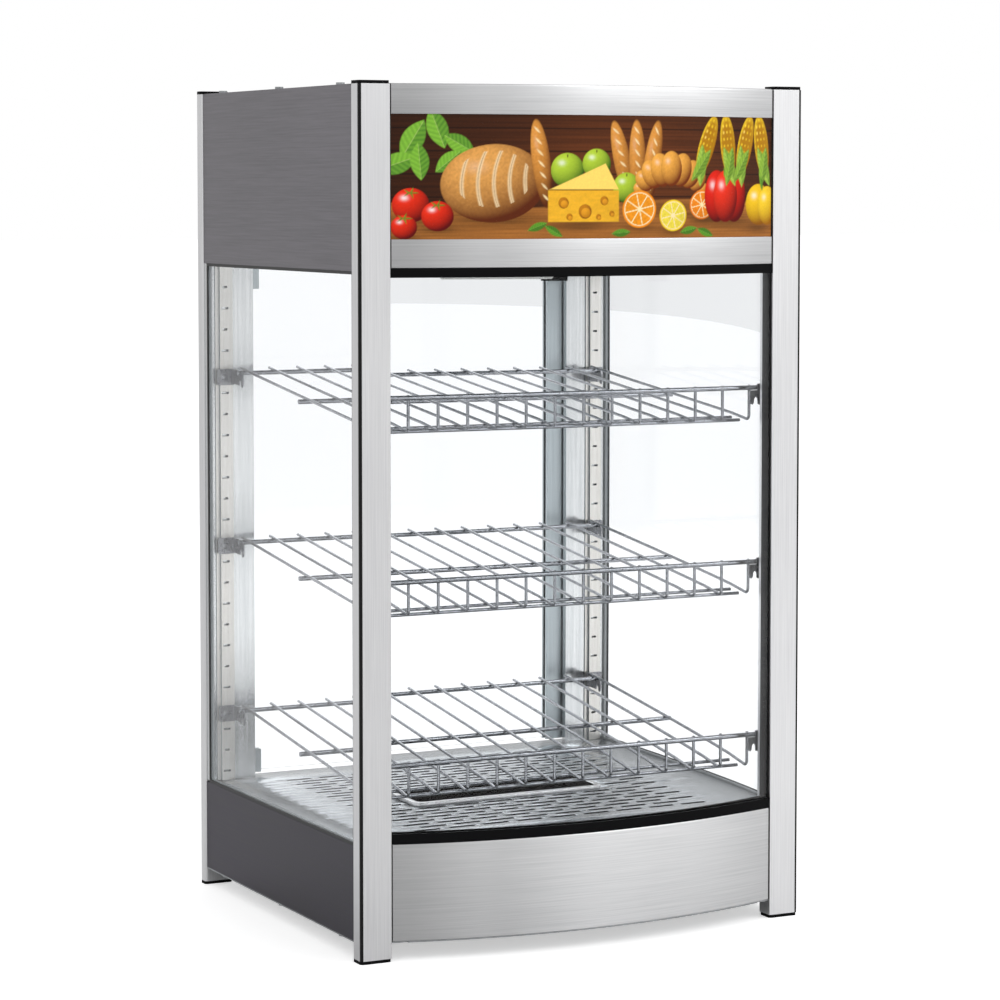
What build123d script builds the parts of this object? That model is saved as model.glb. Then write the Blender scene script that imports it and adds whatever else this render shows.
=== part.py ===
from build123d import *
import os
from math import asin, cos, pi, radians, sin, sqrt, tan

os.makedirs("parts", exist_ok=True)

# Overall sizes, millimetres: X to the right, Y to the back, Z up from the table
case_width = 468
case_height = 810
frame_depth = 404
front_bulge = 31
rear_overhang = 16

half_width = case_width / 2
front_y = (front_bulge - frame_depth - rear_overhang) / 2
rear_y = front_y + frame_depth

# Sheet metal and fits
sheet = 1.2
fit_gap = 0.2
rest_gap = 0.25
flange_depth = 12
side_inset = 2

# Corner posts, extruded aluminium
front_post_width = 31
front_post_depth = 19
rear_post_width = 30
rear_post_depth = 13
post_wall = 1.8
post_edge_radius = 3
foot_pad = 3
cap_thickness = 3
plug_depth = 12
strip_width = 2.4
strip_depth = 3

# Heights of the base and of the header
base_bottom = 17
base_top = 107
channel_height = 9.2
header_front_bottom = 639.2
upper_channel_height = 8.4
graphic_bottom = 665.8
graphic_top = 779.8
header_top = 806
header_front_top = 807.6
deck_top = base_top + sheet
base_front_bottom = base_bottom + sheet
base_front_top = deck_top + sheet
ceiling_bottom = header_front_bottom - sheet
header_bottom = ceiling_bottom - sheet

# Curve shared by the base front, the front glass and the header front
curve_setback = 1
curve_half_width = half_width - front_post_width
curve_sagitta = front_bulge + curve_setback
curve_radius = (curve_half_width**2 + curve_sagitta**2) / (2 * curve_sagitta)
curve_centre_y = front_y - front_bulge + curve_radius
curve_end = curve_half_width - fit_gap

# Glass
glass_thickness = 4
channel_depth = 10
channel_base = 3
glass_cover = 3
gasket_lip = 1.3
gasket_frame = 3

# Rear columns, slotted standards and shelf clips
column_depth = 7
column_width = 52
column_inset = 2.8
standard_width = 19
standard_web = 11
standard_height = 4
standard_inset = 13
front_leg_inset = 12
leg_thickness = 2
leg_depth = 21
slot_pitch = 21.5
slot_height = 2.2
long_slot = 7.5
short_slot = 5
slot_count = 24
first_slot = 118
clip_thickness = 1.5
rear_clip_height = 26
front_clip_height = 20
clip_notch = 5

# Wire shelves
shelf_count = 3
top_clip_slot = 19
slots_per_shelf = 8
wire_radius = 1.5
rail_radius = 2.4
lateral_radius = 1.7
weld_sink = 0.4
wire_count = 14
wire_span = 399.6
rail_length = 413
wire_bend = 4.5
rear_rail_depth = 359
middle_rail_depth = 202
wire_rear_depth = 366
fence_depth = 35
shelf_drop = 46.5
fence_height = 25.5
first_lateral = 9
second_lateral = 25
lateral_short = 12
rear_saddle = -2.9
front_saddle = 1.8

# Deck slots and water tray
slot_row_half_width = 158
deck_slot_length = 27
deck_slot_width = 3
slots_in_row = 9
slot_row_count = 25
first_slot_row = 46
slot_row_pitch = 12.7
slot_stagger = 12
tray_length = 208
tray_width = 68
tray_x = -8
tray_depth_y = 175
tray_rim_width = 6
tray_rim_height = 3.6
tray_depth = 15
tray_wall = 1
tray_corner = 10

# Rear door
door_clearance = 2
door_glass = 5
door_gap = 1.5
door_lift = 3
hinge_inset = 8
shoe_width = 34
shoe_height = 24
shoe_wall = 2
stile_width = 42
stile_depth = 11
pivot_radius = 2.5
pivot_fit = 0.05
bush_radius = 4
bush_flange = 5.2
bush_flange_thickness = 1.5
bush_length = 5
grip_groove = 14

# Screws
screw_radius = 2
screw_head_radius = 4
screw_head_height = 2.2
screw_length = 9
screw_end = 40

# Controls on the rear panel of the base
control_z = 62
power_x = 120
lamp_x = 80
light_x = 40
knob_x = -40
gland_x = -150
knob_radius = 20
knob_skirt = 3
shaft_radius = 3
shaft_fit = 0.05
switch_width = 20
switch_height = 28
bezel_border = 2.5
bezel_thickness = 2
switch_depth = 24
switch_wall = 1.5
rocker_tilt = 8
rocker_fit = 0.6
dial_radius = 30

front_post_x = half_width - front_post_width / 2
rear_post_x = half_width - rear_post_width / 2
rear_post_front = rear_y - rear_post_depth
column_front = rear_post_front - column_depth
post_bottom = foot_pad
post_top = case_height - cap_thickness
post_length = post_top - post_bottom
panel_front = front_y + front_post_depth + fit_gap
panel_rear = rear_post_front - fit_gap

door_front = rear_post_front + door_clearance
door_left = -half_width + rear_post_width + door_gap
door_right = -door_left
door_bottom = deck_top + door_lift
door_top = header_bottom - door_lift
door_middle_y = door_front + stile_depth / 2
pivot_x = door_left + hinge_inset
shoe_depth = door_glass + 2 * shoe_wall


def save(piece, node):
    """Name the piece and write it to its own file."""
    piece.part.label = node
    export_step(piece.part, f"parts/{node}.step")


def curve_band(outer, inner):
    """Plan of a curved strip lying between two depths behind the front face."""
    with BuildSketch() as band:
        with Locations((0, curve_centre_y)):
            Circle(curve_radius - outer)
            Circle(curve_radius - inner, mode=Mode.SUBTRACT)
        with Locations((0, front_y)):
            Rectangle(2 * curve_end, 3 * front_bulge, mode=Mode.INTERSECT)
    return band.sketch


def plate_plan(side, curve_inset, rear):
    """Plan of a level plate: front edge on the curve, corners cut away round the posts."""
    front = front_y - front_bulge
    with BuildSketch() as plan:
        with Locations((0, curve_centre_y)):
            Circle(curve_radius - curve_inset)
        with Locations((0, (front + rear) / 2)):
            Rectangle(2 * side, rear - front, mode=Mode.INTERSECT)
        for hand in (-1, 1):
            with Locations((hand * front_post_x, front_y)):
                Rectangle(front_post_width + 2 * fit_gap, 2 * (front_post_depth + fit_gap), mode=Mode.SUBTRACT)
            with Locations((hand * front_post_x, front_y - front_post_depth)):
                Rectangle(2 * front_post_width, 2 * front_post_depth, mode=Mode.SUBTRACT)
            with Locations((hand * rear_post_x, rear_y)):
                Rectangle(rear_post_width + 2 * fit_gap, 2 * (rear_post_depth + fit_gap), mode=Mode.SUBTRACT)
    return plan.sketch


# Front posts: hollow rounded extrusions with a groove for the corner strip and a leg for the standard
with BuildPart() as post_front_left:
    with BuildSketch(Plane.XY.offset(post_bottom)):
        with Locations((-front_post_x, front_y + front_post_depth / 2)):
            outline = Rectangle(front_post_width, front_post_depth)
            fillet(outline.vertices().sort_by(Axis.X)[:2], post_edge_radius)
            Rectangle(front_post_width - 2 * post_wall - strip_width, front_post_depth - 2 * post_wall - strip_depth,
                      mode=Mode.SUBTRACT)
        with Locations((-half_width, front_y)):
            Rectangle(2 * strip_width, 2 * strip_depth, mode=Mode.SUBTRACT)
    extrude(amount=post_length)
    leg_front = front_y + front_post_depth
    with BuildSketch(Plane.XY.offset(deck_top + fit_gap)):
        with Locations((-half_width + front_leg_inset, leg_front - post_wall)):
            Rectangle(leg_thickness, leg_depth + post_wall, align=(Align.MIN, Align.MIN))
    extrude(amount=header_bottom - deck_top - 2 * fit_gap)

with BuildPart() as post_front_right:
    mirror(post_front_left.part, about=Plane.YZ)

# Rear posts: plain hollow extrusions
with BuildPart() as post_rear_left:
    with BuildSketch(Plane.XY.offset(post_bottom)):
        with Locations((-rear_post_x, rear_post_front + rear_post_depth / 2)):
            outline = Rectangle(rear_post_width, rear_post_depth)
            fillet(outline.vertices().sort_by(Axis.X)[:2], post_edge_radius)
            Rectangle(rear_post_width - 2 * post_wall, rear_post_depth - 2 * post_wall, mode=Mode.SUBTRACT)
    extrude(amount=post_length)

with BuildPart() as post_rear_right:
    mirror(post_rear_left.part, about=Plane.YZ)

# Black strips pushed into the corner grooves of the front posts
with BuildPart() as corner_strips:
    with BuildSketch(Plane.XY.offset(post_bottom)):
        for hand in (-1, 1):
            with Locations((hand * (half_width - strip_width / 2), front_y + strip_depth / 2)):
                Rectangle(strip_width, strip_depth)
    extrude(amount=post_length)
    fillet(corner_strips.edges().filter_by(Axis.Z).group_by(Axis.Y)[0].sort_by(Axis.X)[0], strip_width / 2)
    fillet(corner_strips.edges().filter_by(Axis.Z).group_by(Axis.Y)[0].sort_by(Axis.X)[-1], strip_width / 2)

# Black end plugs: caps on top of the posts, feet below them
hollow_x = front_post_width - 2 * post_wall - strip_width - 2 * fit_gap
hollow_y = front_post_depth - 2 * post_wall - strip_depth - 2 * fit_gap
rear_hollow_x = rear_post_width - 2 * post_wall - 2 * fit_gap
rear_hollow_y = rear_post_depth - 2 * post_wall - 2 * fit_gap
front_post_y = front_y + front_post_depth / 2
rear_post_y = rear_post_front + rear_post_depth / 2

with BuildPart() as post_caps:
    with BuildSketch(Plane.XY.offset(post_top)):
        with Locations((-front_post_x, front_post_y), (front_post_x, front_post_y)):
            RectangleRounded(front_post_width, front_post_depth, post_edge_radius)
        with Locations((-rear_post_x, rear_post_y), (rear_post_x, rear_post_y)):
            RectangleRounded(rear_post_width, rear_post_depth, post_edge_radius)
    extrude(amount=cap_thickness)
    with BuildSketch(Plane.XY.offset(post_top)):
        with Locations((-front_post_x, front_post_y), (front_post_x, front_post_y)):
            Rectangle(hollow_x, hollow_y)
        with Locations((-rear_post_x, rear_post_y), (rear_post_x, rear_post_y)):
            Rectangle(rear_hollow_x, rear_hollow_y)
    extrude(amount=-plug_depth)

with BuildPart() as feet:
    with BuildSketch():
        with Locations((-front_post_x, front_post_y), (front_post_x, front_post_y)):
            RectangleRounded(front_post_width, front_post_depth, post_edge_radius)
        with Locations((-rear_post_x, rear_post_y), (rear_post_x, rear_post_y)):
            RectangleRounded(rear_post_width, rear_post_depth, post_edge_radius)
    extrude(amount=foot_pad)
    with BuildSketch(Plane.XY.offset(foot_pad)):
        with Locations((-front_post_x, front_post_y), (front_post_x, front_post_y)):
            Rectangle(hollow_x, hollow_y)
        with Locations((-rear_post_x, rear_post_y), (rear_post_x, rear_post_y)):
            Rectangle(rear_hollow_x, rear_hollow_y)
    extrude(amount=plug_depth)

# Level plates: base floor, slotted deck, chamber ceiling and top cover
web_outer = half_width - side_inset
web_inner = web_outer - sheet
gasket_width = glass_thickness + 2 * gasket_lip
gasket_x = web_outer - gasket_width / 2 - fit_gap
deck_side = gasket_x - gasket_width / 2 - fit_gap
flange_centre_x = web_outer - flange_depth / 2
screw_places = [(hand * flange_centre_x, screw_y)
                for hand in (-1, 1)
                for screw_y in (panel_front + screw_end, (panel_front + panel_rear) / 2, panel_rear - screw_end)]

with BuildPart() as base_floor:
    with BuildSketch(Plane.XY.offset(base_bottom)):
        add(plate_plan(web_outer, sheet, rear_y))
        with Locations(*screw_places):
            Circle(screw_radius + fit_gap, mode=Mode.SUBTRACT)
    extrude(amount=sheet)

tray_y = front_y + tray_depth_y
tray_hole_length = tray_length - 2 * tray_rim_width + 2
tray_hole_width = tray_width - 2 * tray_rim_width + 2
slot_step = (2 * slot_row_half_width - deck_slot_length) / (slots_in_row - 1)


def over_tray(x, y):
    """True where a slot would run under the water tray."""
    near_x = abs(x - tray_x) < (tray_length + deck_slot_length) / 2
    return near_x and abs(y - tray_y) < tray_width / 2 + deck_slot_width


slot_places = []
for row in range(slot_row_count):
    row_y = front_y + first_slot_row + row * slot_row_pitch
    row_shift = slot_stagger * (row % 2)
    for place in range(slots_in_row):
        slot_x = -slot_row_half_width + deck_slot_length / 2 + place * slot_step + row_shift
        if slot_x + deck_slot_length / 2 < slot_row_half_width + slot_stagger / 2 and not over_tray(slot_x, row_y):
            slot_places.append((slot_x, row_y))

with BuildPart() as deck:
    with BuildSketch(Plane.XY.offset(base_top)):
        add(plate_plan(deck_side, sheet, rear_y))
        with Locations(*slot_places):
            Rectangle(deck_slot_length, deck_slot_width, mode=Mode.SUBTRACT)
        with Locations((tray_x, tray_y)):
            Rectangle(tray_hole_length, tray_hole_width, mode=Mode.SUBTRACT)
        with Locations((pivot_x, door_middle_y)):
            Circle(bush_radius + fit_gap, mode=Mode.SUBTRACT)
    extrude(amount=sheet)

lamp_hole_length = 120
lamp_hole_width = 20
chamber_lamp_y = front_y + 190

with BuildPart() as ceiling_panel:
    with BuildSketch(Plane.XY.offset(ceiling_bottom)):
        add(plate_plan(web_inner - fit_gap, channel_depth + fit_gap, rear_y - sheet - fit_gap))
        with Locations((0, chamber_lamp_y)):
            Rectangle(lamp_hole_length, lamp_hole_width, mode=Mode.SUBTRACT)
        with Locations((pivot_x, door_middle_y)):
            Circle(bush_radius + fit_gap, mode=Mode.SUBTRACT)
    extrude(amount=sheet)

with BuildPart() as top_cover:
    with BuildSketch(Plane.XY.offset(header_top)):
        add(plate_plan(web_outer, channel_depth + fit_gap, rear_y))
        with Locations(*screw_places):
            Circle(screw_radius + fit_gap, mode=Mode.SUBTRACT)
    extrude(amount=sheet)

# Side panels: folded sheet, a web with a flange turned in along its top and bottom edges


def side_panel(bottom, top, screw_level):
    """Left-hand folded side panel between two heights, with screw holes in the flange at a level."""
    with BuildPart() as panel:
        with BuildSketch(Plane.XZ.offset(-panel_front)):
            with Locations((-web_outer, bottom)):
                Rectangle(flange_depth, top - bottom, align=(Align.MIN, Align.MIN))
            with Locations((-web_inner, bottom + sheet)):
                Rectangle(flange_depth, top - bottom - 2 * sheet, align=(Align.MIN, Align.MIN), mode=Mode.SUBTRACT)
        extrude(amount=-(panel_rear - panel_front))
        with BuildSketch(Plane.XY.offset(screw_level)):
            with Locations(*screw_places):
                Circle(screw_radius + fit_gap)
        extrude(amount=2 * sheet, both=True, mode=Mode.SUBTRACT)
    return panel.part


with BuildPart() as base_left_panel:
    add(side_panel(base_front_bottom, base_top, base_front_bottom))

with BuildPart() as base_right_panel:
    mirror(base_left_panel.part, about=Plane.YZ)

with BuildPart() as header_left_panel:
    add(side_panel(header_bottom, header_top, header_top))

with BuildPart() as header_right_panel:
    mirror(header_left_panel.part, about=Plane.YZ)

# Curved front panels: a face strip with returns turned in


def curved_panel(bottom, top, low_return, high_return):
    """Curved face between two heights, with a return at the bottom, the top or both."""
    with BuildPart() as panel:
        with BuildSketch(Plane.XY.offset(bottom)):
            add(curve_band(0, sheet))
        extrude(amount=top - bottom)
        if low_return:
            with BuildSketch(Plane.XY.offset(bottom)):
                add(curve_band(0, flange_depth))
            extrude(amount=sheet)
        if high_return:
            with BuildSketch(Plane.XY.offset(top - sheet)):
                add(curve_band(0, high_return))
            extrude(amount=sheet)
    return panel.part


with BuildPart() as base_front_panel:
    add(curved_panel(base_front_bottom, base_front_top, True, flange_depth))

with BuildPart() as header_lower_strip:
    add(curved_panel(header_front_bottom, graphic_bottom, True, 0))

with BuildPart() as header_top_strip:
    add(curved_panel(graphic_top, header_front_top, False, channel_depth))

# Picture panel: a curved acrylic sheet held behind the two header strips
graphic_thickness = 2
graphic_lap = 3

with BuildPart() as graphic_panel:
    with BuildSketch(Plane.XY.offset(graphic_bottom - graphic_lap)):
        add(curve_band(sheet + fit_gap, sheet + fit_gap + graphic_thickness))
    extrude(amount=graphic_top - graphic_bottom + 2 * graphic_lap)

# Rear panels of the base and of the header, folded like the side panels
rear_panel_width = 2 * (half_width - rear_post_width - fit_gap)


def rear_panel(bottom, top):
    """Rear web with a flange turned forward along its top and bottom edges."""
    with BuildPart() as panel:
        with BuildSketch(Plane.YZ.offset(-rear_panel_width / 2)):
            with Locations((rear_y, bottom)):
                Rectangle(flange_depth, top - bottom, align=(Align.MAX, Align.MIN))
            with Locations((rear_y - sheet, bottom + sheet)):
                Rectangle(flange_depth, top - bottom - 2 * sheet, align=(Align.MAX, Align.MIN), mode=Mode.SUBTRACT)
        extrude(amount=rear_panel_width)
    return panel.part


rear_face = Plane(origin=(0, rear_y, control_z), x_dir=(-1, 0, 0), z_dir=(0, 1, 0))
switch_places = [(-power_x, 0), (-light_x, 0)]
lamp_radius = 6
gland_radius = 8

with BuildPart() as base_rear_panel:
    add(rear_panel(base_front_bottom, base_top))
    with BuildSketch(rear_face):
        with Locations(*switch_places):
            Rectangle(switch_width + 2 * switch_wall + 2 * fit_gap, switch_height + 2 * switch_wall + 2 * fit_gap)
        with Locations((-lamp_x, 0)):
            Circle(lamp_radius + fit_gap)
        with Locations((-gland_x, 0)):
            Circle(gland_radius + fit_gap)
        with Locations((-knob_x, 0)):
            Circle(shaft_radius + 2)
    extrude(amount=-2 * sheet, mode=Mode.SUBTRACT)
    with BuildSketch(Plane.XY.offset(base_top)):
        with Locations((pivot_x, door_middle_y)):
            Circle(bush_radius + fit_gap)
    extrude(amount=-2 * sheet, mode=Mode.SUBTRACT)

with BuildPart() as header_rear_panel:
    add(rear_panel(header_bottom, header_top))
    with BuildSketch(Plane.XY.offset(header_bottom)):
        with Locations((pivot_x, door_middle_y)):
            Circle(bush_radius + fit_gap)
    extrude(amount=2 * sheet, mode=Mode.SUBTRACT)

# Front glass and its black channels
groove_outer = glass_cover - fit_gap
groove_inner = glass_cover + glass_thickness + fit_gap
channel_top = base_front_top + channel_height
upper_channel_bottom = header_front_bottom - upper_channel_height
glass_bottom = base_front_top + channel_base
glass_top = header_front_bottom - channel_base

with BuildPart() as lower_glass_channel:
    with BuildSketch(Plane.XY.offset(base_front_top)):
        add(curve_band(0, channel_depth))
    extrude(amount=channel_height)
    with BuildSketch(Plane.XY.offset(glass_bottom)):
        add(curve_band(groove_outer, groove_inner))
    extrude(amount=channel_height, mode=Mode.SUBTRACT)

with BuildPart() as upper_glass_channel:
    with BuildSketch(Plane.XY.offset(upper_channel_bottom)):
        add(curve_band(0, channel_depth))
    extrude(amount=upper_channel_height)
    with BuildSketch(Plane.XY.offset(upper_channel_bottom)):
        add(curve_band(groove_outer, groove_inner))
    extrude(amount=upper_channel_height - channel_base, mode=Mode.SUBTRACT)

with BuildPart() as front_glass:
    with BuildSketch(Plane.XY.offset(glass_bottom)):
        add(curve_band(glass_cover, glass_cover + glass_thickness))
    extrude(amount=glass_top - glass_bottom)

# Side glass in a black edge gasket, standing between the base and header side panels
pane_front = panel_front
pane_rear = column_front - fit_gap
pane_y = (pane_front + pane_rear) / 2
pane_z = (base_top + header_bottom) / 2
pane_length = pane_rear - pane_front
pane_height = header_bottom - base_top
pane_plane = Plane(origin=(-gasket_x, pane_y, pane_z), x_dir=(0, 1, 0), z_dir=(-1, 0, 0))

with BuildPart() as side_gaskets:
    with BuildSketch(pane_plane.offset(-gasket_width / 2)):
        Rectangle(pane_length, pane_height)
        Rectangle(pane_length - 2 * gasket_frame, pane_height - 2 * gasket_frame, mode=Mode.SUBTRACT)
    extrude(amount=gasket_width)
    with BuildSketch(pane_plane.offset(-glass_thickness / 2 - fit_gap)):
        Rectangle(pane_length - gasket_frame, pane_height - gasket_frame)
    extrude(amount=glass_thickness + 2 * fit_gap, mode=Mode.SUBTRACT)
    mirror(about=Plane.YZ)

with BuildPart() as side_glass:
    with BuildSketch(pane_plane.offset(-glass_thickness / 2)):
        Rectangle(pane_length - gasket_frame, pane_height - gasket_frame)
    extrude(amount=glass_thickness)
    mirror(about=Plane.YZ)

# Rear columns: folded polished sheet beside the door opening
column_bottom = deck_top + fit_gap
column_top = header_bottom - fit_gap

with BuildPart() as rear_columns:
    with BuildSketch(Plane.XY.offset(column_bottom)):
        with Locations((-half_width + column_inset, column_front)):
            Rectangle(column_width, column_depth - fit_gap, align=(Align.MIN, Align.MIN))
        with Locations((-half_width + column_inset + sheet, column_front + sheet)):
            Rectangle(column_width - 2 * sheet, column_depth, align=(Align.MIN, Align.MIN), mode=Mode.SUBTRACT)
    extrude(amount=column_top - column_bottom)
    mirror(about=Plane.YZ)

# Slotted standards: hat section strips with a row of long and short slots
standard_bottom = deck_top + fit_gap
standard_top = header_bottom - fit_gap
rear_standard_x = -half_width + standard_inset + standard_width / 2
front_standard_y = front_y + front_post_depth + 1 + standard_width / 2
leg_face_x = -half_width + front_leg_inset + leg_thickness
rear_standard_plane = Plane(origin=(rear_standard_x, column_front, 0), x_dir=(1, 0, 0), z_dir=(0, 0, 1))
front_standard_plane = Plane(origin=(leg_face_x, front_standard_y, 0), x_dir=(0, 1, 0), z_dir=(0, 0, 1))


def standard(plane, face_dir):
    """Slotted standard whose back lies on the plane's X axis and whose face looks along -Y of the plane."""
    wall = sheet
    with BuildPart() as strip:
        with BuildSketch(plane.offset(standard_bottom)):
            Rectangle(standard_width, wall, align=(Align.CENTER, Align.MAX))
            Rectangle(standard_web, standard_height, align=(Align.CENTER, Align.MAX))
            Rectangle(standard_web - 2 * wall, standard_height - wall, align=(Align.CENTER, Align.MAX),
                      mode=Mode.SUBTRACT)
        extrude(amount=standard_top - standard_bottom)
        face = Plane(origin=plane.origin, x_dir=plane.x_dir, z_dir=face_dir)
        for length, start in ((long_slot, 0), (short_slot, 1)):
            places = [(0, height) for height in
                      [first_slot + step * slot_pitch for step in range(start, slot_count, 2)]]
            with BuildSketch(face.offset(standard_height + wall)):
                with Locations(*places):
                    Rectangle(length, slot_height)
            extrude(amount=-3 * wall, mode=Mode.SUBTRACT)
    return strip.part


with BuildPart() as rear_standards:
    add(standard(rear_standard_plane, (0, -1, 0)))
    mirror(about=Plane.YZ)

with BuildPart() as front_standards:
    add(standard(front_standard_plane, (1, 0, 0)))
    mirror(about=Plane.YZ)

# Shelf clips: a plate on the standard with an arm that carries the end of a rail
rear_face_y = column_front - standard_height
front_face_x = leg_face_x + standard_height
rear_rail_y = front_y + rear_rail_depth
fence_rail_y = front_y + fence_depth - wire_radius - rail_radius + weld_sink
rear_arm = rear_face_y - rear_rail_y + rail_radius + 2
front_arm = -rail_length / 2 + 4.5 - front_face_x
rail_room = rail_radius + 0.5
lip_height = 2.5
lip_width = 1.2


def arm_outline(height, saddle, reach, rail_place, lip):
    """Side view of a clip arm: high root, saddle under the rail, notch in its lower edge."""
    with BuildSketch() as arm:
        with BuildLine():
            Polyline((0, -height / 2), (0, height / 2), (rail_place - rail_room, height / 2),
                     (rail_place - rail_room, saddle), (reach - lip, saddle), (reach - lip, saddle + 2 * lip),
                     (reach, saddle + 2 * lip), (reach, -height / 2 + 2), (reach - 2, -height / 2), close=True)
        make_face()
        with Locations((reach * 0.5, -height / 2)):
            Rectangle(clip_notch * 0.8, height * 0.3, align=(Align.CENTER, Align.MIN), mode=Mode.SUBTRACT)
    return arm.sketch


with BuildPart() as rear_clip:
    clip_left = -half_width + standard_inset
    clip_arm_x = clip_left + standard_width - clip_thickness
    with BuildSketch(Plane.XZ.offset(-rear_face_y)):
        with Locations((clip_left, 0)):
            Rectangle(standard_width, rear_clip_height, align=(Align.MIN, Align.CENTER))
    extrude(amount=clip_thickness)
    with BuildSketch(Plane(origin=(clip_arm_x, rear_face_y, 0), x_dir=(0, -1, 0), z_dir=(-1, 0, 0))):
        add(arm_outline(rear_clip_height, rear_saddle - rest_gap, rear_arm, rear_face_y - rear_rail_y, lip_width))
    extrude(amount=-clip_thickness)
    with BuildSketch(Plane.XZ.offset(-rear_face_y + clip_thickness)):
        with Locations((clip_left + standard_width * 0.35, 0)):
            Circle(3)
    extrude(amount=1.2)

with BuildPart() as front_clip:
    with BuildSketch(Plane.YZ.offset(front_face_x)):
        with Locations((front_standard_y, 0)):
            Rectangle(standard_width, front_clip_height)
    extrude(amount=clip_thickness)
    with BuildSketch(Plane(origin=(front_face_x, fence_rail_y, 0), x_dir=(1, 0, 0), z_dir=(0, -1, 0))):
        with BuildLine():
            rail_end = -rail_length / 2 - 0.7 - front_face_x
            saddle = front_saddle - rest_gap
            Polyline((0, -front_clip_height / 2), (0, front_clip_height / 2), (rail_end, front_clip_height / 2),
                     (rail_end, saddle), (front_arm, saddle), (front_arm, -front_clip_height / 2), close=True)
        make_face()
        with Locations((front_arm * 0.55, -front_clip_height / 2)):
            Rectangle(clip_notch * 0.8, front_clip_height * 0.3, align=(Align.CENTER, Align.MIN), mode=Mode.SUBTRACT)
    extrude(amount=clip_thickness / 2, both=True)

# One wire shelf, welded: cross wires bent up into a fence, lying on two rails and two laterals
wire_rise = shelf_drop / (rear_rail_depth - fence_depth)
wire_over_rail = rail_radius + wire_radius - weld_sink
shelf_rear_z = wire_over_rail / cos(asin(wire_rise / sqrt(1 + wire_rise**2)))


def wire_z(depth):
    """Height of the cross wires' centre line above the rear rail, at a depth behind the front posts."""
    return shelf_rear_z - (rear_rail_depth - depth) * wire_rise


fence_top_z = wire_z(fence_depth) + fence_height
wire_step = wire_span / (wire_count - 1)

with BuildPart() as cross_wire:
    with BuildLine() as route:
        FilletPolyline((0, front_y + wire_rear_depth, wire_z(wire_rear_depth)),
                       (0, front_y + fence_depth, wire_z(fence_depth)),
                       (0, front_y + fence_depth, fence_top_z + rail_radius), radius=wire_bend)
    with BuildSketch(Plane(origin=route.line @ 0, z_dir=route.line % 0)):
        Circle(wire_radius)
    sweep()

with BuildPart() as shelf:
    with Locations(*[(-wire_span / 2 + wire * wire_step, 0, 0) for wire in range(wire_count)]):
        add(cross_wire.part)
    rails = [(rear_rail_depth, 0, rail_radius, rail_length),
             (middle_rail_depth, wire_z(middle_rail_depth) - wire_over_rail, rail_radius, rail_length),
             (fence_rail_y - front_y, fence_top_z, rail_radius, rail_length)]
    for lateral in (first_lateral, second_lateral):
        lateral_z = wire_z(fence_depth + lateral) - wire_radius - lateral_radius + weld_sink
        rails.append((fence_depth + lateral, lateral_z, lateral_radius, wire_span - lateral_short))
    for depth, height, radius, length in rails:
        with BuildSketch(Plane.YZ.offset(-length / 2)):
            with Locations((front_y + depth, height)):
                Circle(radius)
        extrude(amount=length)

shelf_names = ("top", "middle", "bottom")
shelf_levels = []
for tier in range(shelf_count):
    clip_z = first_slot + (top_clip_slot - tier * slots_per_shelf) * slot_pitch
    shelf_levels.append(clip_z)

rail_over_clip = rear_saddle + rail_radius
front_clip_shift = fence_top_z + rail_over_clip - rail_radius - front_saddle
for tier_name, clip_z in zip(shelf_names, shelf_levels):
    with BuildPart() as wire_shelf:
        with Locations((0, 0, clip_z + rail_over_clip)):
            add(shelf.part)
    save(wire_shelf, f"shelf_{tier_name}")
    with BuildPart() as clips:
        with Locations((0, 0, clip_z)):
            add(rear_clip.part)
        with Locations((0, 0, clip_z + front_clip_shift)):
            add(front_clip.part)
        mirror(about=Plane.YZ)
    save(clips, f"clips_{tier_name}")

# Water tray: a pressed pan hanging by its rim in an opening of the deck
with BuildPart() as water_tray:
    with BuildSketch(Plane.XY.offset(deck_top + rest_gap)):
        with Locations((tray_x, tray_y)):
            RectangleRounded(tray_length, tray_width, tray_corner)
    extrude(amount=tray_rim_height)
    pan_length = tray_hole_length - 2
    pan_width = tray_hole_width - 2
    with BuildSketch(Plane.XY.offset(deck_top + rest_gap + tray_rim_height)):
        with Locations((tray_x, tray_y)):
            RectangleRounded(pan_length, pan_width, tray_corner - 3)
    extrude(amount=-tray_depth)
    with BuildSketch(Plane.XY.offset(deck_top + rest_gap + tray_rim_height)):
        with Locations((tray_x, tray_y)):
            RectangleRounded(pan_length - 2 * tray_wall, pan_width - 2 * tray_wall, tray_corner - 4)
    extrude(amount=-tray_depth + tray_wall, mode=Mode.SUBTRACT)
    with BuildSketch(Plane.XY.offset(deck_top + rest_gap)):
        with Locations((tray_x, tray_y)):
            RectangleRounded(tray_length - 2 * tray_wall, tray_width - 2 * tray_wall, tray_corner - 1)
            RectangleRounded(pan_length, pan_width, tray_corner - 3, mode=Mode.SUBTRACT)
    extrude(amount=tray_rim_height - tray_wall, mode=Mode.SUBTRACT)

# Rear door: a sheet of toughened glass, pivot shoes at the left corners, a pull stile on the right

with BuildPart() as door_pane:
    with BuildSketch(Plane.XZ.offset(-(door_middle_y - door_glass / 2))):
        with Locations((door_left + fit_gap, door_bottom + shoe_wall)):
            Rectangle(door_right - door_left - stile_width / 2, door_top - door_bottom - 2 * shoe_wall,
                      align=(Align.MIN, Align.MIN))
    extrude(amount=-door_glass)

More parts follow.
